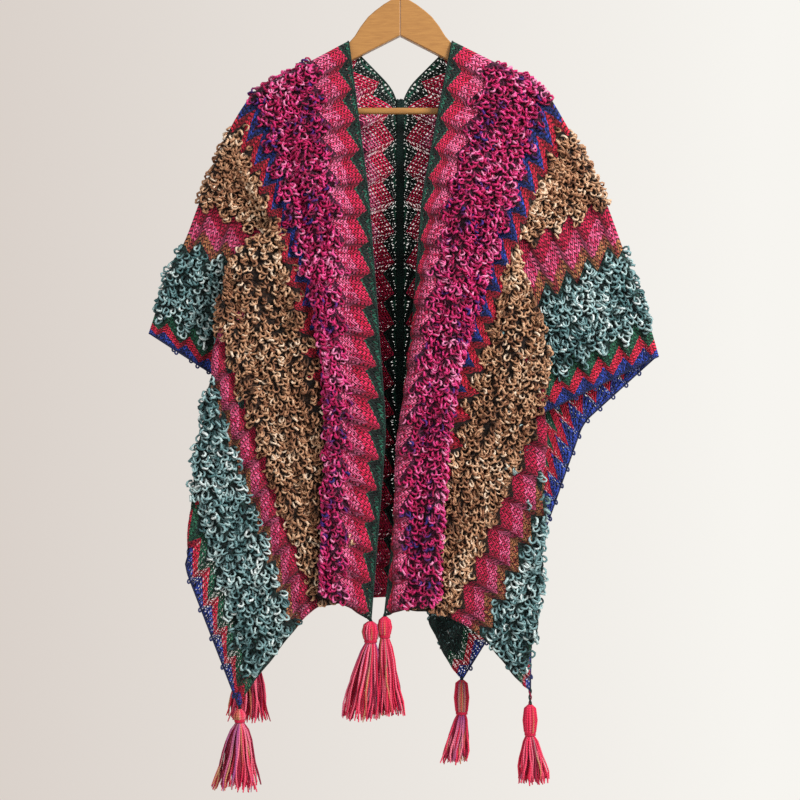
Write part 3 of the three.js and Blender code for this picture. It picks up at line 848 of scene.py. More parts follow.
@dataclass(frozen=True)
class HalfPanel:
    """Half of a panel: the cloth from the shoulder fold to one hem.

    Attributes:
        name: the CAD node that it stands for.
        side: the side of the body.
        face: in front of the body or behind it.
        ribs: how the cloth hangs.
        skin: how far the knit's outer face stands off the cloth's inner line.
        ridge: how much farther the knit stands out at a tooth's ridge.
        wall: the knit's thickness.
    """

    name: str
    side: Side
    face: Face
    ribs: RibTable
    skin: float = 1.7
    ridge: float = 1.5
    wall: float = 1.5

    def ripple(self, across: Array, down: Array) -> Array:
        """Returns how far soft upright waves push the hanging cloth outwards."""
        inside = smooth(4.0, 40.0, across) * (1.0 - smooth(440.0, 478.0, across))
        wave = np.sin(TURN * across / RIPPLE_LENGTH + 0.9 * np.sin(down / 110.0) + self.side.value)
        return RIPPLE_HEIGHT * inside * smooth(60.0, 170.0, down) * wave

    def point(self, across: Array, down: Array) -> Array:
        """Gives places of the cloth in the frame.

        Args:
            across: places across the flat cut.
            down: places down from the shoulder fold, in the same shape.

        Returns:
            Points in millimetres, in the same shape with three values each.
        """
        u, v = np.broadcast_arrays(np.asarray(across, float), np.asarray(down, float))
        shape = u.shape
        u, v = u.ravel(), v.ravel()
        stops, corners = self.ribs.at(u)
        below = np.maximum(0.0, v - SHOULDER_HALF)
        reach = np.clip(below, 0.5, BEND)
        spans = np.diff(stops, axis=1)[:, :, None]
        slopes = np.diff(corners, axis=1) / spans
        areas = np.cumsum((corners[:, 1:] + corners[:, :-1]) / 2.0 * spans, axis=1)
        areas = np.concatenate([np.zeros((len(u), 1, 3)), areas], axis=1)
        lines = np.arange(len(u))

        def area(at: Array) -> Array:
            """Returns the area under each rib's straight runs, up to each place."""
            i = (at > stops[:, 1]).astype(int) + (at > stops[:, 2]).astype(int)
            t = (at - stops[lines, i])[:, None]
            return areas[lines, i] + corners[lines, i] * t + slopes[lines, i] * t * t / 2.0

        hung = (area(below + reach) - area(below - reach)) / (2.0 * reach)[:, None]
        turn = smooth(TURN_FROM, TURN_TO, u) * TURN_STEP
        passed = np.clip((below - stops[:, 1] + BEND) / (2.0 * BEND), 0.0, 1.0)
        passed = passed * passed * (3.0 - 2.0 * passed)
        step = turn * (passed - below / stops[:, 2])
        hung[:, 1] += np.where(below < stops[:, 2], step, 0.0)
        hung[:, 1] += self.ripple(u, v)
        laid = np.stack([corners[:, 0, 0], v, corners[:, 0, 2]], axis=1)
        spot = np.where((v > SHOULDER_HALF)[:, None], hung, laid)
        z = FIT - HOOK_RISE - spot[:, 2]
        placed = np.stack([self.side.value * spot[:, 0], self.face.value * spot[:, 1], z], axis=1)
        return placed.reshape(shape + (3,))

    def normal(self, across: Array, down: Array) -> Array:
        """Returns the outward direction of the cloth at places of the flat cut."""
        du = self.point(across + 1.0, down) - self.point(across - 1.0, down)
        dv = self.point(across, down + 1.0) - self.point(across, np.maximum(0.0, down - 1.0))
        return unit(np.cross(du, dv)) * (self.side.value * self.face.value)

    def buried(self, point: Array) -> Array:
        """Returns how far points lie under the outermost fold of the cloth.

        Args:
            point: places near the cloth, one in each row.

        Returns:
            The depth of each, measured towards the middle plane.
        """
        places = np.meshgrid(np.arange(0.0, PANEL_WIDTH, COVER_STEP),
                             np.arange(0.0, PANEL_LENGTH, COVER_STEP))
        cloth = self.point(*places).reshape(-1, 3)
        outermost = np.zeros(COVER_CELLS)
        cells = tuple(((cloth[:, [0, 2]] - COVER_CORNER) / COVER_CELL).astype(int).T)
        np.maximum.at(outermost, cells, np.abs(cloth[:, 1]))
        cells = tuple(((point[:, [0, 2]] - COVER_CORNER) / COVER_CELL).astype(int).T)
        return outermost[cells] - np.abs(point[:, 1])

    def stripe_place(self, stripe: Array, down: Array) -> tuple[Array, Array]:
        """Returns the points and outward directions of places on the stripes."""
        across = stripe + ZIGZAG.shift(stripe, down)
        return self.point(across, down), self.normal(across, down)

    def columns(self) -> Array:
        """Returns the stripe places of the grid's columns, with one on each stripe's edge."""
        edges = [stripe.start for stripe in STRIPES] + [PANEL_WIDTH]
        runs = [np.linspace(a, b, max(2, round((b - a) / COLUMN_STEP)) + 1)[:-1]
                for a, b in zip(edges, edges[1:])]
        return np.concatenate(runs + [np.array([PANEL_WIDTH])])

    def rows(self, stripe: Array) -> Array:
        """Returns the grid's places down the cut, with rows on each tip and each root.

        Args:
            stripe: the stripe place of each column.

        Returns:
            The places, as (rows, columns).
        """
        share = ZIGZAG.share(stripe)
        rows = [np.full_like(stripe, v) for v in SHOULDER_ROWS]
        for tooth in range(LAST_TOOTH):
            tip = FIRST_TIP + tooth * TOOTH
            rows += [tip + TOOTH * share * q for q in THIRDS]
            rows += [tip + TOOTH * (share + (1.0 - share) * q) for q in THIRDS]
        last = FIRST_TIP + LAST_TOOTH * TOOTH
        return np.stack(rows + [np.full_like(stripe, v) for v in (last, LOWEST_ROW, PANEL_LENGTH)])

    def closeness(self, stripe: Array, down: Array) -> Array:
        """Returns how closed the knit is: 1 has no holes and 0 is half open."""
        starts = np.array([s.start for s in STRIPES])
        i = np.clip(np.searchsorted(starts, stripe, side="right") - 1, 0, len(STRIPES) - 1)
        long_side = np.array([s.close for s in STRIPES])[i]
        short_side = np.array([s.close_short for s in STRIPES])[i]
        short = ZIGZAG.short_side(stripe, down)
        closed = long_side * (1.0 - short) + short_side * short
        if self.face is Face.BACK:
            pull = 1.0 - smooth(*STRETCH.centre, stripe)
            pull = pull * (1.0 - STRETCH.centre_ease * smooth(*STRETCH.centre_down, down))
            pulled = STRETCH.open_long - STRETCH.open_short * short
            closed = closed * (1.0 - pull) + pulled * pull
        hanging = smooth(*STRETCH.edge, stripe) * smooth(*STRETCH.edge_down, down)
        return closed * (1.0 - STRETCH.edge_pull * hanging)

    def build(self, finishes: Sequence[Material]) -> bpy.types.Object:
        """Builds the knit as a thin closed wall with its stripes' relief.

        Args:
            finishes: the materials of the outer and the inner face.

        Returns:
            The knit, which replaces the CAD wall.
        """
        columns = self.columns()
        down = self.rows(columns)
        stripe = np.broadcast_to(columns, down.shape)
        point, normal = self.stripe_place(stripe, down)
        out = self.skin + self.ridge * ZIGZAG.relief(stripe, down)
        outer = point + normal * out[..., None]
        inner = point + normal * (out - self.wall)[..., None]
        count = down.size
        grid = np.arange(count).reshape(down.shape)
        face = np.stack([grid[:-1, :-1], grid[:-1, 1:], grid[1:, 1:], grid[1:, :-1]], axis=-1)
        face = face.reshape(-1, 4)
        back = face[:, ::-1] + count
        border = np.concatenate([grid[0, :-1], grid[:-1, -1], grid[-1, :0:-1], grid[:0:-1, 0]])
        following = np.roll(border, -1)
        rim = np.stack([following, border, border + count, following + count], axis=-1)
        quads = np.concatenate([face, back, rim])
        if self.side.value * self.face.value < 0:
            quads = quads[:, ::-1]
        flat = np.stack([stripe, down], axis=-1).reshape(-1, 2)
        places = np.concatenate([flat, flat])[quads]
        short = ZIGZAG.short_side(stripe, down).ravel()
        closed = self.closeness(stripe, down).ravel()
        fields = {"short_side": np.tile(short, 2), "closed": np.tile(closed, 2)}
        slots = np.concatenate([np.zeros(len(face)), np.ones(len(back)), np.zeros(len(rim))])
        made = build_mesh(f"{self.name}_knit", np.concatenate([outer.reshape(-1, 3),
                          inner.reshape(-1, 3)]), quads, "cut", places, fields, finishes, slots)
        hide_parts(self.name)
        return made


@dataclass(frozen=True)
class LoopBand:
    """A band of standing yarn loops on a half panel.

    Attributes:
        name: a word for the band.
        start: where the band starts across the panel.
        end: where it ends.
        spacing: the distance between loops.
        height: the length of a loop from root to top.
        width: the width of a loop.
        radius: the yarn's radius.
        seed: the start of the band's random numbers.
        jitter: how far a root strays from its place.
        facing: how far the cloth faces outwards where loops start and end to stand up.
        cover: the depths under the outermost fold between which they lie down again.
        shoulder: the places down the cut where they stop standing up whatever covers them.
        hidden: the share of the loops under a fold that are kept.
        swerve: how far a loop's lean strays to the side, as an angle.
        rise: the least and the most that it stands up, as angles.
        part: the part of a full turn that a loop runs through.
        curl: how far it curls out of its plane.
        dye: the least tone, what the slow drift adds, and the mean and spread of the rest.
    """

    name: str
    start: float
    end: float
    spacing: float
    height: float
    width: float
    radius: float
    seed: int
    jitter: float = 1.8
    facing: tuple[float, float] = (-0.4, 0.2)
    cover: tuple[float, float] = (5.0, 9.0)
    shoulder: tuple[float, float] = (20.0, 40.0)
    hidden: float = 0.25
    swerve: float = 0.75
    rise: tuple[float, float] = (0.35, 1.05)
    part: tuple[float, float] = (0.06, 0.94)
    curl: float = 0.12
    dye: tuple[float, float, float, float] = (0.2, 0.42, 0.17, 0.22)

    def roots(self, half: HalfPanel, chance: np.random.Generator) -> tuple[Array, Array]:
        """Returns the stripe place and the place down of each loop's root."""
        s, v = np.meshgrid(np.arange(self.start + 2.5, self.end - 1.5, self.spacing),
                           np.arange(3.0, PANEL_LENGTH - 3.0, self.spacing))
        s = s + np.where(np.arange(s.shape[0]) % 2, self.spacing / 2, 0.0)[:, None]
        s = (s + chance.uniform(-self.jitter, self.jitter, s.shape)).ravel()
        v = v + chance.uniform(-self.jitter, self.jitter, v.shape)
        v = np.clip(v, 1.0, PANEL_LENGTH - 1.5).ravel()
        return np.clip(s, self.start + 1.0, self.end - 1.0), v

    def proud(self, half: HalfPanel, point: Array, normal: Array, down: Array) -> Array:
        """Returns how far loops stand up: 1 on an outer fold and 0 under another one.

        Args:
            half: the cloth that they stand on.
            point: the loops' roots.
            normal: the cloth's outward direction at each.
            down: the place down the cut of each.

        Returns:
            One number from 0 to 1 for each loop.
        """
        facing = smooth(*self.facing, normal[:, 1] * half.face.value)
        open_air = facing * (1.0 - smooth(*self.cover, half.buried(point)))
        return np.maximum(open_air, 1.0 - smooth(*self.shoulder, down))

    def axes(self, normal: Array, proud: Array,
             chance: np.random.Generator) -> tuple[Array, Array, Array]:
        """Chooses how each loop leans.

        Args:
            normal: the cloth's outward direction at each loop.
            proud: how far each stands up.
            chance: the band's random numbers.

        Returns:
            Each loop's direction, the direction of its width, and the one across both.
        """
        count = len(proud)
        fall = unit(np.array([0.0, 0.0, -1.0]) - normal * -normal[:, 2:3] + 1e-6)
        across = np.cross(normal, fall)
        swerve = chance.normal(0.0, self.swerve, count)[:, None]
        lean_to = fall * np.cos(swerve) + across * np.sin(swerve)
        rise = chance.uniform(*self.rise, count) * (0.25 + 0.75 * proud)
        axis = lean_to * np.cos(rise)[:, None] + normal * np.sin(rise)[:, None]
        wide = unit(np.cross(axis, normal) + 0.35 * chance.normal(0, 1, (count, 3)))
        wide = unit(wide - axis * np.sum(wide * axis, axis=1, keepdims=True))
        return axis, wide, np.cross(axis, wide)

    def tones(self, stripe: Array, down: Array, chance: np.random.Generator) -> Array:
        """Returns each loop's place in the dye run, which drifts slowly over the cloth."""
        least, added, mean, spread = self.dye
        drift = np.sin(down / 61.0 + stripe / 23.0) * np.cos(down / 37.0 - stripe / 31.0)
        drift = 0.5 + 0.5 * drift
        return np.clip(least + added * drift + chance.normal(mean, spread, len(down)), 0.0, 1.0)

    def build(self, half: HalfPanel, finish: Material) -> bpy.types.Object:
        """Builds the band's loops on a half panel.

        Args:
            half: the cloth that they stand on.
            finish: the yarn's material.

        Returns:
            The loops, as one object.
        """
        chance = np.random.default_rng(self.seed + 7 * half.side.value + 31 * half.face.value)
        stripe, down = self.roots(half, chance)
        point, normal = half.stripe_place(stripe, down)
        proud = self.proud(half, point, normal, down)
        kept = (proud > 0.05) | (chance.uniform(0, 1, len(down)) < self.hidden)
        stripe, down, point, normal, proud = (a[kept] for a in (stripe, down, point, normal, proud))
        count = len(down)
        axis, wide, plane = self.axes(normal, proud, chance)
        height = self.height * chance.uniform(0.72, 1.15, count)
        width = self.width * chance.uniform(0.6, 1.15, count)
        turns = np.linspace(*self.part, 8) * TURN
        lift = (1.0 - np.cos(turns)) / 2.0
        swing = np.sin(turns)
        curl = np.sin(2.0 * turns) * self.curl
        paths = (
            (point + normal * half.skin)[:, None, :]
            + axis[:, None, :] * (height[:, None] * lift)[..., None]
            + wide[:, None, :] * (width[:, None] * swing / 2.0)[..., None]
            + plane[:, None, :] * (height[:, None] * curl)[..., None]
        )
        radii = np.full(paths.shape[:2], self.radius) * chance.uniform(0.85, 1.15, (count, 1))
        tone = self.tones(stripe, down, chance)
        tones = np.clip(tone[:, None] + 0.1 * np.sin(turns)[None, :], 0.0, 1.0)
        reach = np.broadcast_to(smooth(0.0, 0.55, lift), tones.shape)
        run = YarnRun(paths, radii, plane, tones, reach, 3)
        made = run.build(f"{half.name}_{self.name}_loops", finish)
        return made


LOOP_BANDS = (
    (LoopBand("pink", 53.0, 147.0, 6.4, 9.6, 7.6, 1.6, 101), PINK_YARN),
    (LoopBand("tan", 187.0, 295.0, 6.4, 9.6, 7.6, 1.6, 202), TAN_YARN),
    (LoopBand("teal", 351.0, 435.0, 6.8, 10.6, 8.6, 1.7, 303), TEAL_YARN),
)


@dataclass(frozen=True)
class EdgeTrim:
    """The cords along a half panel's edges, and the small picot loops on the outer edge.

    Attributes:
        radius: the cord's radius.
        picot_radius: the radius of a picot's yarn.
        picot: the width of a picot loop.
        step: the length of a cord's straight pieces.
    """

    radius: float = 1.25
    picot_radius: float = 1.15
    picot: float = 4.5
    step: float = 6.0

    def cord(self, half: HalfPanel, edge: Edge) -> YarnRun:
        """Returns the cord along one long edge of a half panel."""
        down = np.linspace(0.5, PANEL_LENGTH, int(PANEL_LENGTH / self.step))
        across = np.full_like(down, edge.value)
        path = half.point(across, down) + half.normal(across, down) * half.skin
        tone = 0.25 if edge is Edge.CENTRE else 0.55
        shape = (1, len(down))
        return YarnRun(path[None], np.full(shape, self.radius), half.normal(across, down)[:1],
                       np.full(shape, tone), np.ones(shape), 5)

    def picots(self, half: HalfPanel) -> YarnRun:
        """Returns the small loops that stand out of the outer edge, one at each tooth."""
        down = FIRST_TIP + TOOTH * (np.arange(LAST_TOOTH) + 0.75)
        across = np.full_like(down, Edge.OUTER.value)
        root = half.point(across, down)
        normal = half.normal(across, down)
        outward = unit(root - half.point(across - 3.0, down))
        edge = unit(half.point(across, down + 2.0) - half.point(across, down - 2.0))
        turns = np.linspace(0.04, 0.96, 9) * TURN
        lift = (1.0 - np.cos(turns)) / 2.0
        paths = (
            (root + normal * half.skin)[:, None, :]
            + outward[:, None, :] * (self.picot * lift)[None, :, None]
            + edge[:, None, :] * (self.picot * 0.5 * np.sin(turns))[None, :, None]
        )
        shape = paths.shape[:2]
        return YarnRun(paths, np.full(shape, self.picot_radius), normal, np.full(shape, 0.72),
                       np.ones(shape), 4)

    def build(self, half: HalfPanel, finish: Material) -> list[bpy.types.Object]:
        """Builds the trims of a half panel.

        Args:
            half: the cloth that they edge.
            finish: the cord's material.

        Returns:
            The cords and picots, as separate objects.
        """
        runs = [("centre_cord", self.cord(half, Edge.CENTRE)),
                ("outer_cord", self.cord(half, Edge.OUTER)), ("picots", self.picots(half))]
        made = [run.build(f"{half.name}_{word}", finish) for word, run in runs]
        return made


@dataclass(frozen=True)
class CentreSeam:
    """The crocheted join down the centre back: three cords that cross over and under.

    Attributes:
        start: where the join starts, down the cut.
        spread: half of the seam's width.
        radius: a cord's radius.
        stitch: the length of one crossing.
    """

    start: float = 100.0
    spread: float = 4.4
    radius: float = 2.2
    stitch: float = 11.0

    def build(self, left: HalfPanel, right: HalfPanel,
              finish: Material) -> bpy.types.Object:
        """Builds the join.

        Args:
            left: the back half on the viewer's left.
            right: the back half on the viewer's right.
            finish: the cords' material.

        Returns:
            The join, as one object that replaces the CAD seam.
        """
        down = np.arange(self.start, PANEL_LENGTH, 1.8)
        zero = np.zeros_like(down)
        middle = (left.point(zero, down) + right.point(zero, down)) / 2.0
        middle = middle + np.array([0.0, 1.25, 0.0])
        paths = []
        for strand in range(3):
            turn = TURN * (down / self.stitch + strand / 3.0)
            side = self.spread * np.sin(turn)
            over = 1.5 * np.sin(2.0 * turn)
            paths.append(middle + np.stack([side, over, zero], axis=1))
        paths = np.stack(paths)
        shape = paths.shape[:2]
        tones = np.clip(0.2 + 0.12 * np.sin(np.arange(shape[1]) / 5.0)[None, :], 0, 1)
        front = np.tile(np.array([[0.3, 1.0, 0.05]]), (3, 1))
        run = YarnRun(paths, np.full(shape, self.radius), front, np.broadcast_to(tones, shape),
                      np.ones(shape), 6)
        made = run.build("centre_back_join", finish)
        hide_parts("centre_back_seam")
        return made


@dataclass(frozen=True)
class Tassel:
    """A tassel that hangs from a panel's corner.

    Attributes:
        node: the CAD node that it stands for.
        half: the name of the half panel.
        edge: the edge that its corner is on.
        stem: the drop from the corner to the head.
        tie: the drop to the tie.
        length: the drop to the ends of the strands.
        head: the head's radius.
        spread: the skirt's radius at the ends.
        sway: how far the skirt swings to the viewer's right.
        seed: the start of its random numbers.
        strands: the number of strands.
        radius: a strand's radius.
        waist: the radius under the tie, as a share of the head's.
        ragged: how far the strands' ends differ.
        bend: how far a strand waves to the side at its end.
        flat: how much flatter the skirt's end is from front to back.
    """

    node: str
    half: str
    edge: Edge
    stem: float
    tie: float
    length: float
    head: float
    spread: float
    sway: float
    seed: int
    strands: int = 84
    radius: float = 1.35
    waist: float = 0.55
    ragged: float = 11.0
    bend: float = 2.6
    flat: float = 0.42

    def corner(self, half: HalfPanel) -> Array:
        """Returns the point that the tassel hangs from."""
        across, low = np.array([self.edge.value]), np.array([PANEL_LENGTH])
        lift = half.normal(across, low - 1.0)[0] * (KNIT / 2.0)
        return half.point(across, low)[0] + lift - np.array([0.0, 0.0, FIT])

    def strand_paths(self, corner: Array, chance: np.random.Generator) -> Array:
        """Returns the strands' paths from the stem, over the head and out into the skirt."""
        count = self.strands
        share = np.sqrt((np.arange(count) + 0.5) / count)
        turn = np.arange(count) * GOLDEN_TURN + chance.normal(0, 0.25, count)
        middle = (self.stem + self.tie) / 2.0
        waist = self.head * self.waist
        head = [(self.stem - 1.5, 0.22 * self.head), (self.stem + 2.5, 0.78 * self.head),
                (middle, self.head), (self.tie - 3.0, 0.8 * self.head), (self.tie, waist),
                (self.tie + 3.0, waist)]
        drops = [np.full(count, drop) for drop, _ in head]
        outs = [size * (0.3 + 0.7 * share) for _, size in head]
        ends = self.length - chance.uniform(0, self.ragged, count)
        begin = self.tie + 3.0
        for t in (0.12, 0.28, 0.46, 0.64, 0.82, 1.0):
            drops.append(begin + (ends - begin) * t)
            start = waist * (0.3 + 0.7 * share)
            outs.append(start + (self.spread * share - start) * t**0.62)
        drop, out = np.stack(drops, axis=1), np.stack(outs, axis=1)
        along = np.clip((drop - begin) / (self.length - begin), 0.0, 1.0)
        wave = chance.uniform(0, TURN, (count, 1))
        sway = self.sway * along
        bend = self.bend * along * np.sin(along * 8.0 + wave)
        flat = 1.0 - self.flat * along
        x = corner[0] + out * np.cos(turn)[:, None] + sway + bend
        y = corner[1] + flat * out * np.sin(turn)[:, None] + bend * 0.5
        return np.stack([x, y, corner[2] - drop], axis=2)

    def build(self, half: HalfPanel, finish: Material,
              cord: Material) -> bpy.types.Object:
        """Builds the tassel with its tie and stem.

        Args:
            half: the half panel that it hangs from.
            finish: the strands' material.
            cord: the material of the tie and of the stem.

        Returns:
            The strands; the tie and the stem are built as objects of their own.
        """
        chance = np.random.default_rng(self.seed)
        corner = self.corner(half)
        paths = self.strand_paths(corner, chance)
        shape = paths.shape[:2]
        radii = np.full(shape, self.radius) * chance.uniform(0.8, 1.2, (shape[0], 1))
        radii[:, -1] *= 0.6
        tones = chance.uniform(0, 1, (shape[0], 1)) ** 1.25
        tones = np.clip(tones + 0.09 * np.sin(np.linspace(0, 5, shape[1]) + 9 * tones), 0, 1)
        centre = np.array([corner[0], corner[1], 0.0])
        outward = paths[:, 5] * np.array([1.0, 1.0, 0.0]) - centre
        side = np.cross(unit(outward + 1e-3), np.array([0.0, 0.0, 1.0]))
        run = YarnRun(paths, radii, side, tones, np.ones(shape), 4)
        made = run.build(f"{self.node}_strands", finish)
        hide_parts(self.node)
        for word, run, look in (("tie", self.tie_run(corner), finish),
                                ("stem", self.stem_run(corner), cord)):
            run.build(f"{self.node}_{word}", look)
        return made

    def tie_run(self, corner: Array) -> YarnRun:
        """Returns the yarn that is wound three times round the tassel's waist."""
        turns = np.linspace(0, 3 * TURN, 40)
        radius = self.head * self.waist + self.radius + 0.5
        path = np.stack([corner[0] + radius * np.cos(turns), corner[1] + radius * np.sin(turns),
                         corner[2] - self.tie - 0.5 + 3.4 * (turns / (3 * TURN) - 0.5)], axis=1)
        shape = (1, len(turns))
        return YarnRun(path[None], np.full(shape, 0.95), np.array([[0.0, 0.0, 1.0]]),
                       np.full(shape, 0.2), np.ones(shape), 5)

    def stem_run(self, corner: Array) -> YarnRun:
        """Returns the two twisted cords from the corner into the tassel's head."""
        drop = np.linspace(-5.0, self.stem + 4.0, 16)
        paths = []
        for start in (0.0, math.pi):
            turn = drop / 2.6 + start
            paths.append(np.stack([corner[0] + 1.3 * np.cos(turn), corner[1] + 1.3 * np.sin(turn),
                                   corner[2] - drop], axis=1))
        shape = (2, len(drop))
        tones = np.array([[0.2], [0.98 if self.stem > 10 else 0.3]]) * np.ones(shape)
        return YarnRun(np.stack(paths), np.full(shape, 1.25), np.array([[0.0, 1.0, 0.0]] * 2),
                       tones, np.ones(shape), 5)


TASSELS = (
    Tassel("tassel_left_front_inner", "left_front", Edge.CENTRE, 2, 25, 131, 11, 27, -14, 11),
    Tassel("tassel_right_front_inner", "right_front", Edge.CENTRE, 2, 25, 131, 9, 18, 8, 12),
    Tassel("tassel_left_front_outer", "left_front", Edge.OUTER, 2, 15, 108, 8, 33, -6, 13),
    Tassel("tassel_right_front_outer", "right_front", Edge.OUTER, 20, 56, 123, 9, 22, 4, 14),
    Tassel("tassel_left_back_outer", "left_back", Edge.OUTER, 4, 30, 124, 9, 30, -4, 15),
    Tassel("tassel_right_back_outer", "right_back", Edge.OUTER, 2, 44, 114, 10, 18, -10, 16),
)


@dataclass(frozen=True)
class Poncho:
    """The whole garment: two panels joined at the centre back, with their loops and tassels."""

    halves: tuple[HalfPanel, ...] = (
        HalfPanel("left_front", Side.LEFT, Face.FRONT, LEFT_FRONT),
        HalfPanel("right_front", Side.RIGHT, Face.FRONT, RIGHT_FRONT),
        HalfPanel("left_back", Side.LEFT, Face.BACK, LEFT_BACK),
        HalfPanel("right_back", Side.RIGHT, Face.BACK, RIGHT_BACK),
    )

    def build(self) -> None:
        """Builds and dresses every piece of the garment."""
        knit = [KNIT_FACE.material(), KNIT_INSIDE.material()]
        yarns = [(band, finish.material()) for band, finish in LOOP_BANDS]
        cord = DARK_CORD.material()
        trim = EdgeTrim()
        for half in self.halves:
            shell = half.build(knit)
            loops = [band.build(half, finish) for band, finish in yarns]
            edges = trim.build(half, cord)
            LOG.info("%s: knit, %d loop bands and %d trims", half.name, len(loops), len(edges))
        by_name = {half.name: half for half in self.halves}
        seam = CentreSeam().build(by_name["left_back"], by_name["right_back"], cord)
        LOG.info("%s", seam.name)
        strands = TASSEL_YARN.material()
        for tassel in TASSELS:
            made = tassel.build(by_name[tassel.half], strands, cord)
            LOG.info("%s", made.name)


@dataclass(frozen=True)
class Hanger:
    """The hanger's CAD pieces, which keep their shape and get their finish here."""

    arms: WoodFinish = WoodFinish("honey_wood", "a8763a", "97662f")
    bar: WoodFinish = WoodFinish("dowel_wood", "a87638", "90602c")
    wire: WireFinish = WireFinish("polished_hook_wire", "c6c6ca")

    def dress(self) -> None:
        """Gives each piece of the hanger its material."""
        arms, bar, wire = self.arms.material(), self.bar.material(), self.wire.material()
        finishes = {"hanger_arm_left": arms, "hanger_arm_right": arms, "hanger_bar": bar,
                    "hanger_hook": wire}
        for name, finish in finishes.items():
            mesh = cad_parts[name].data
            mesh.materials.clear()
            mesh.materials.append(finish)
            LOG.info("%s: %s", name, finish.name)


@dataclass(frozen=True)
class SoftLight:
    """A large square light that points at the garment's middle.

    Attributes:
        name: the light's name.
        place: where it stands, in metres.
        size: the length of its side.
        power: its power in watts.
        aim: the point that it shines at.
    """

    name: str
    place: tuple[float, float, float]
    size: float
    power: float
    aim: tuple[float, float, float] = (0.0, 0.0, -0.55)

    def build(self) -> None:
        """Puts the light in the scene."""
        data = bpy.data.lights.new(self.name, "AREA")
        data.shape, data.size, data.energy = "SQUARE", self.size, self.power
        made = bpy.data.objects.new(self.name, data)
        made.location = self.place
        way = np.array(self.aim) - np.array(self.place)
        yaw = math.atan2(-way[0], way[1])
        pitch = math.atan2(math.hypot(way[0], way[1]), -way[2])
        made.rotation_euler = (pitch, 0.0, yaw)
        bpy.context.scene.collection.objects.link(made)


LIGHTS = (
    SoftLight("window", (1.9, -1.7, 0.8), 0.9, 106.0),
    SoftLight("fill", (-1.9, -1.6, 0.2), 1.8, 13.0),
    SoftLight("back_fill", (0.4, 2.4, 0.6), 1.8, 26.0),
)


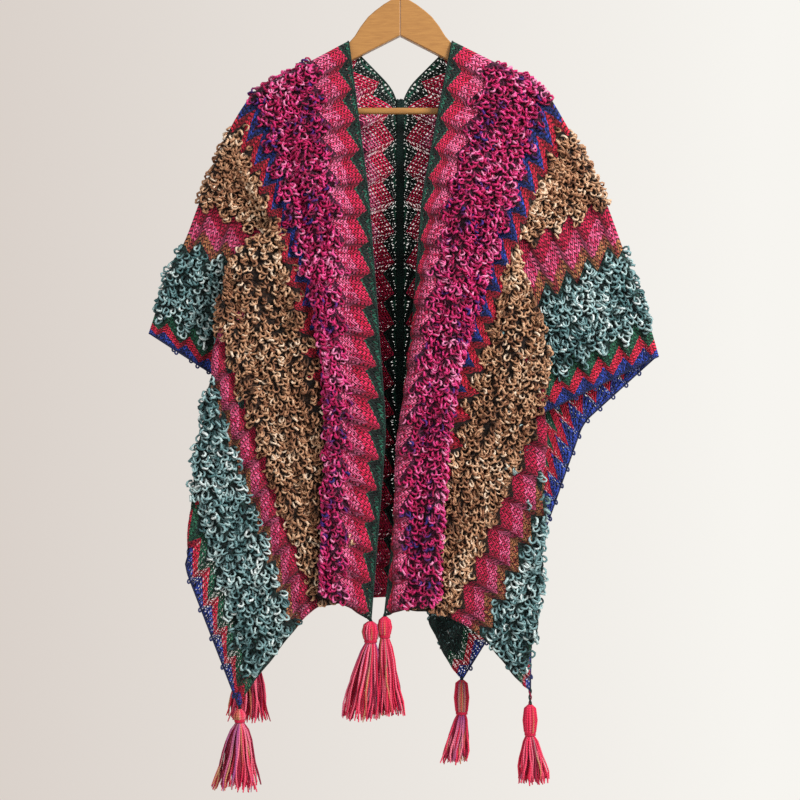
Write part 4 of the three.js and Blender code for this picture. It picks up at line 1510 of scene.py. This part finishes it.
@dataclass(frozen=True)
class Studio:
    """A pale floor, soft light, a pale surround and the camera of the photograph.

    Attributes:
        distance: from the camera to the middle plane of the object, in metres.
        height: the camera's height in the frame.
        lens: its focal length in millimetres.
        floor: the height of the floor.
        floor_radius: the floor's radius.
        floor_sides: the number of sides that it is drawn with.
        floor_tints: the two colours that it varies between.
        tints: the surround's colour at its left and at its right; the darker left is painted shade
            and the paler right painted window light.
        span: the view directions, from left to right, between which it changes.
        glow: how strongly the surround lights the object.
    """

    distance: float = 2.1
    height: float = -0.610
    lens: float = 70.0
    floor: float = -1.36
    floor_radius: float = 0.66
    floor_sides: int = 48
    floor_tints: tuple[str, str] = ("ebe6e0", "f0ece7")
    tints: tuple[str, str] = ("d9d0c9", "f7f5f0")
    span: tuple[float, float] = (-0.26, 0.22)
    glow: float = 0.55

    def camera(self) -> None:
        """Sets the camera straight in front of the object."""
        data = bpy.data.cameras.new("front_camera")
        data.lens, data.sensor_width, data.sensor_fit = self.lens, 36.0, "HORIZONTAL"
        data.clip_start, data.clip_end = 0.05, 50.0
        made = bpy.data.objects.new("front_camera", data)
        made.location = (0.0, -self.distance, self.height)
        made.rotation_euler = (math.pi / 2, 0.0, 0.0)
        bpy.context.scene.collection.objects.link(made)
        bpy.context.scene.camera = made

    def surround(self) -> None:
        """Makes the pale surround, with painted shade that makes it a little darker to the viewer's
        left.
        """
        world = bpy.data.worlds.new("pale_surround")
        bpy.context.scene.world = world
        world.use_nodes = True
        tree = world.node_tree
        tree.nodes.clear()
        out = tree.nodes.new("ShaderNodeOutputWorld")
        coordinates = tree.nodes.new("ShaderNodeTexCoord")
        parts = tree.nodes.new("ShaderNodeSeparateXYZ")
        spread = tree.nodes.new("ShaderNodeMapRange")
        spread.inputs["From Min"].default_value = self.span[0]
        spread.inputs["From Max"].default_value = self.span[1]
        blend = tree.nodes.new("ShaderNodeMix")
        blend.data_type = "RGBA"
        # Painted light: the surround the camera sees goes from shade at the left to window light at
        # the right.
        blend.inputs[6].default_value = linear(self.tints[0])
        blend.inputs[7].default_value = linear(self.tints[1])
        seen = tree.nodes.new("ShaderNodeBackground")
        lit = tree.nodes.new("ShaderNodeBackground")
        lit.inputs["Color"].default_value = (1.0, 0.985, 0.965, 1.0)
        lit.inputs["Strength"].default_value = self.glow
        path = tree.nodes.new("ShaderNodeLightPath")
        both = tree.nodes.new("ShaderNodeMixShader")
        for source, target in (
            (coordinates.outputs["Generated"], parts.inputs[0]),
            (parts.outputs["X"], spread.inputs["Value"]),
            (spread.outputs["Result"], blend.inputs[0]),
            (blend.outputs[2], seen.inputs["Color"]),
            (path.outputs["Is Camera Ray"], both.inputs[0]),
            (lit.outputs[0], both.inputs[1]),
            (seen.outputs[0], both.inputs[2]),
            (both.outputs[0], out.inputs["Surface"]),
        ):
            tree.links.new(source, target)

    def ground(self) -> None:
        """Makes the round pale floor, which isn't part of the object."""
        sides = self.floor_sides
        turns = [TURN * i / sides for i in range(sides)]
        ring = [(self.floor_radius * math.cos(t), self.floor_radius * math.sin(t), self.floor)
                for t in turns]
        mesh = bpy.data.meshes.new("floor")
        mesh.from_pydata(ring, [], [tuple(range(sides))])
        shade = Shade("pale_floor")
        place = shade.node("ShaderNodeTexCoord").outputs["Object"]
        first, second = (linear(code) for code in self.floor_tints)
        tint = shade.mix(shade.noise(place, 6.0), first, second)
        shade.set(Base_Color=tint, Roughness=0.9)
        mesh.materials.append(shade.material)
        made = bpy.data.objects.new("floor", mesh)
        bpy.context.scene.collection.objects.link(made)

    def build(self) -> None:
        """Builds the whole studio."""
        bpy.context.scene.view_settings.view_transform = "Standard"
        self.camera()
        self.surround()
        for light in LIGHTS:
            light.build()
        self.ground()
        LOG.info("studio: camera, surround, lights and floor")


def main() -> None:
    """Builds the studio, the hanger's finish and the garment."""
    logging.basicConfig(level=logging.INFO, format="%(message)s")
    Studio().build()
    Hanger().dress()
    Poncho().build()
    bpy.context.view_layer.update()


if __name__ == "__main__":
    main()
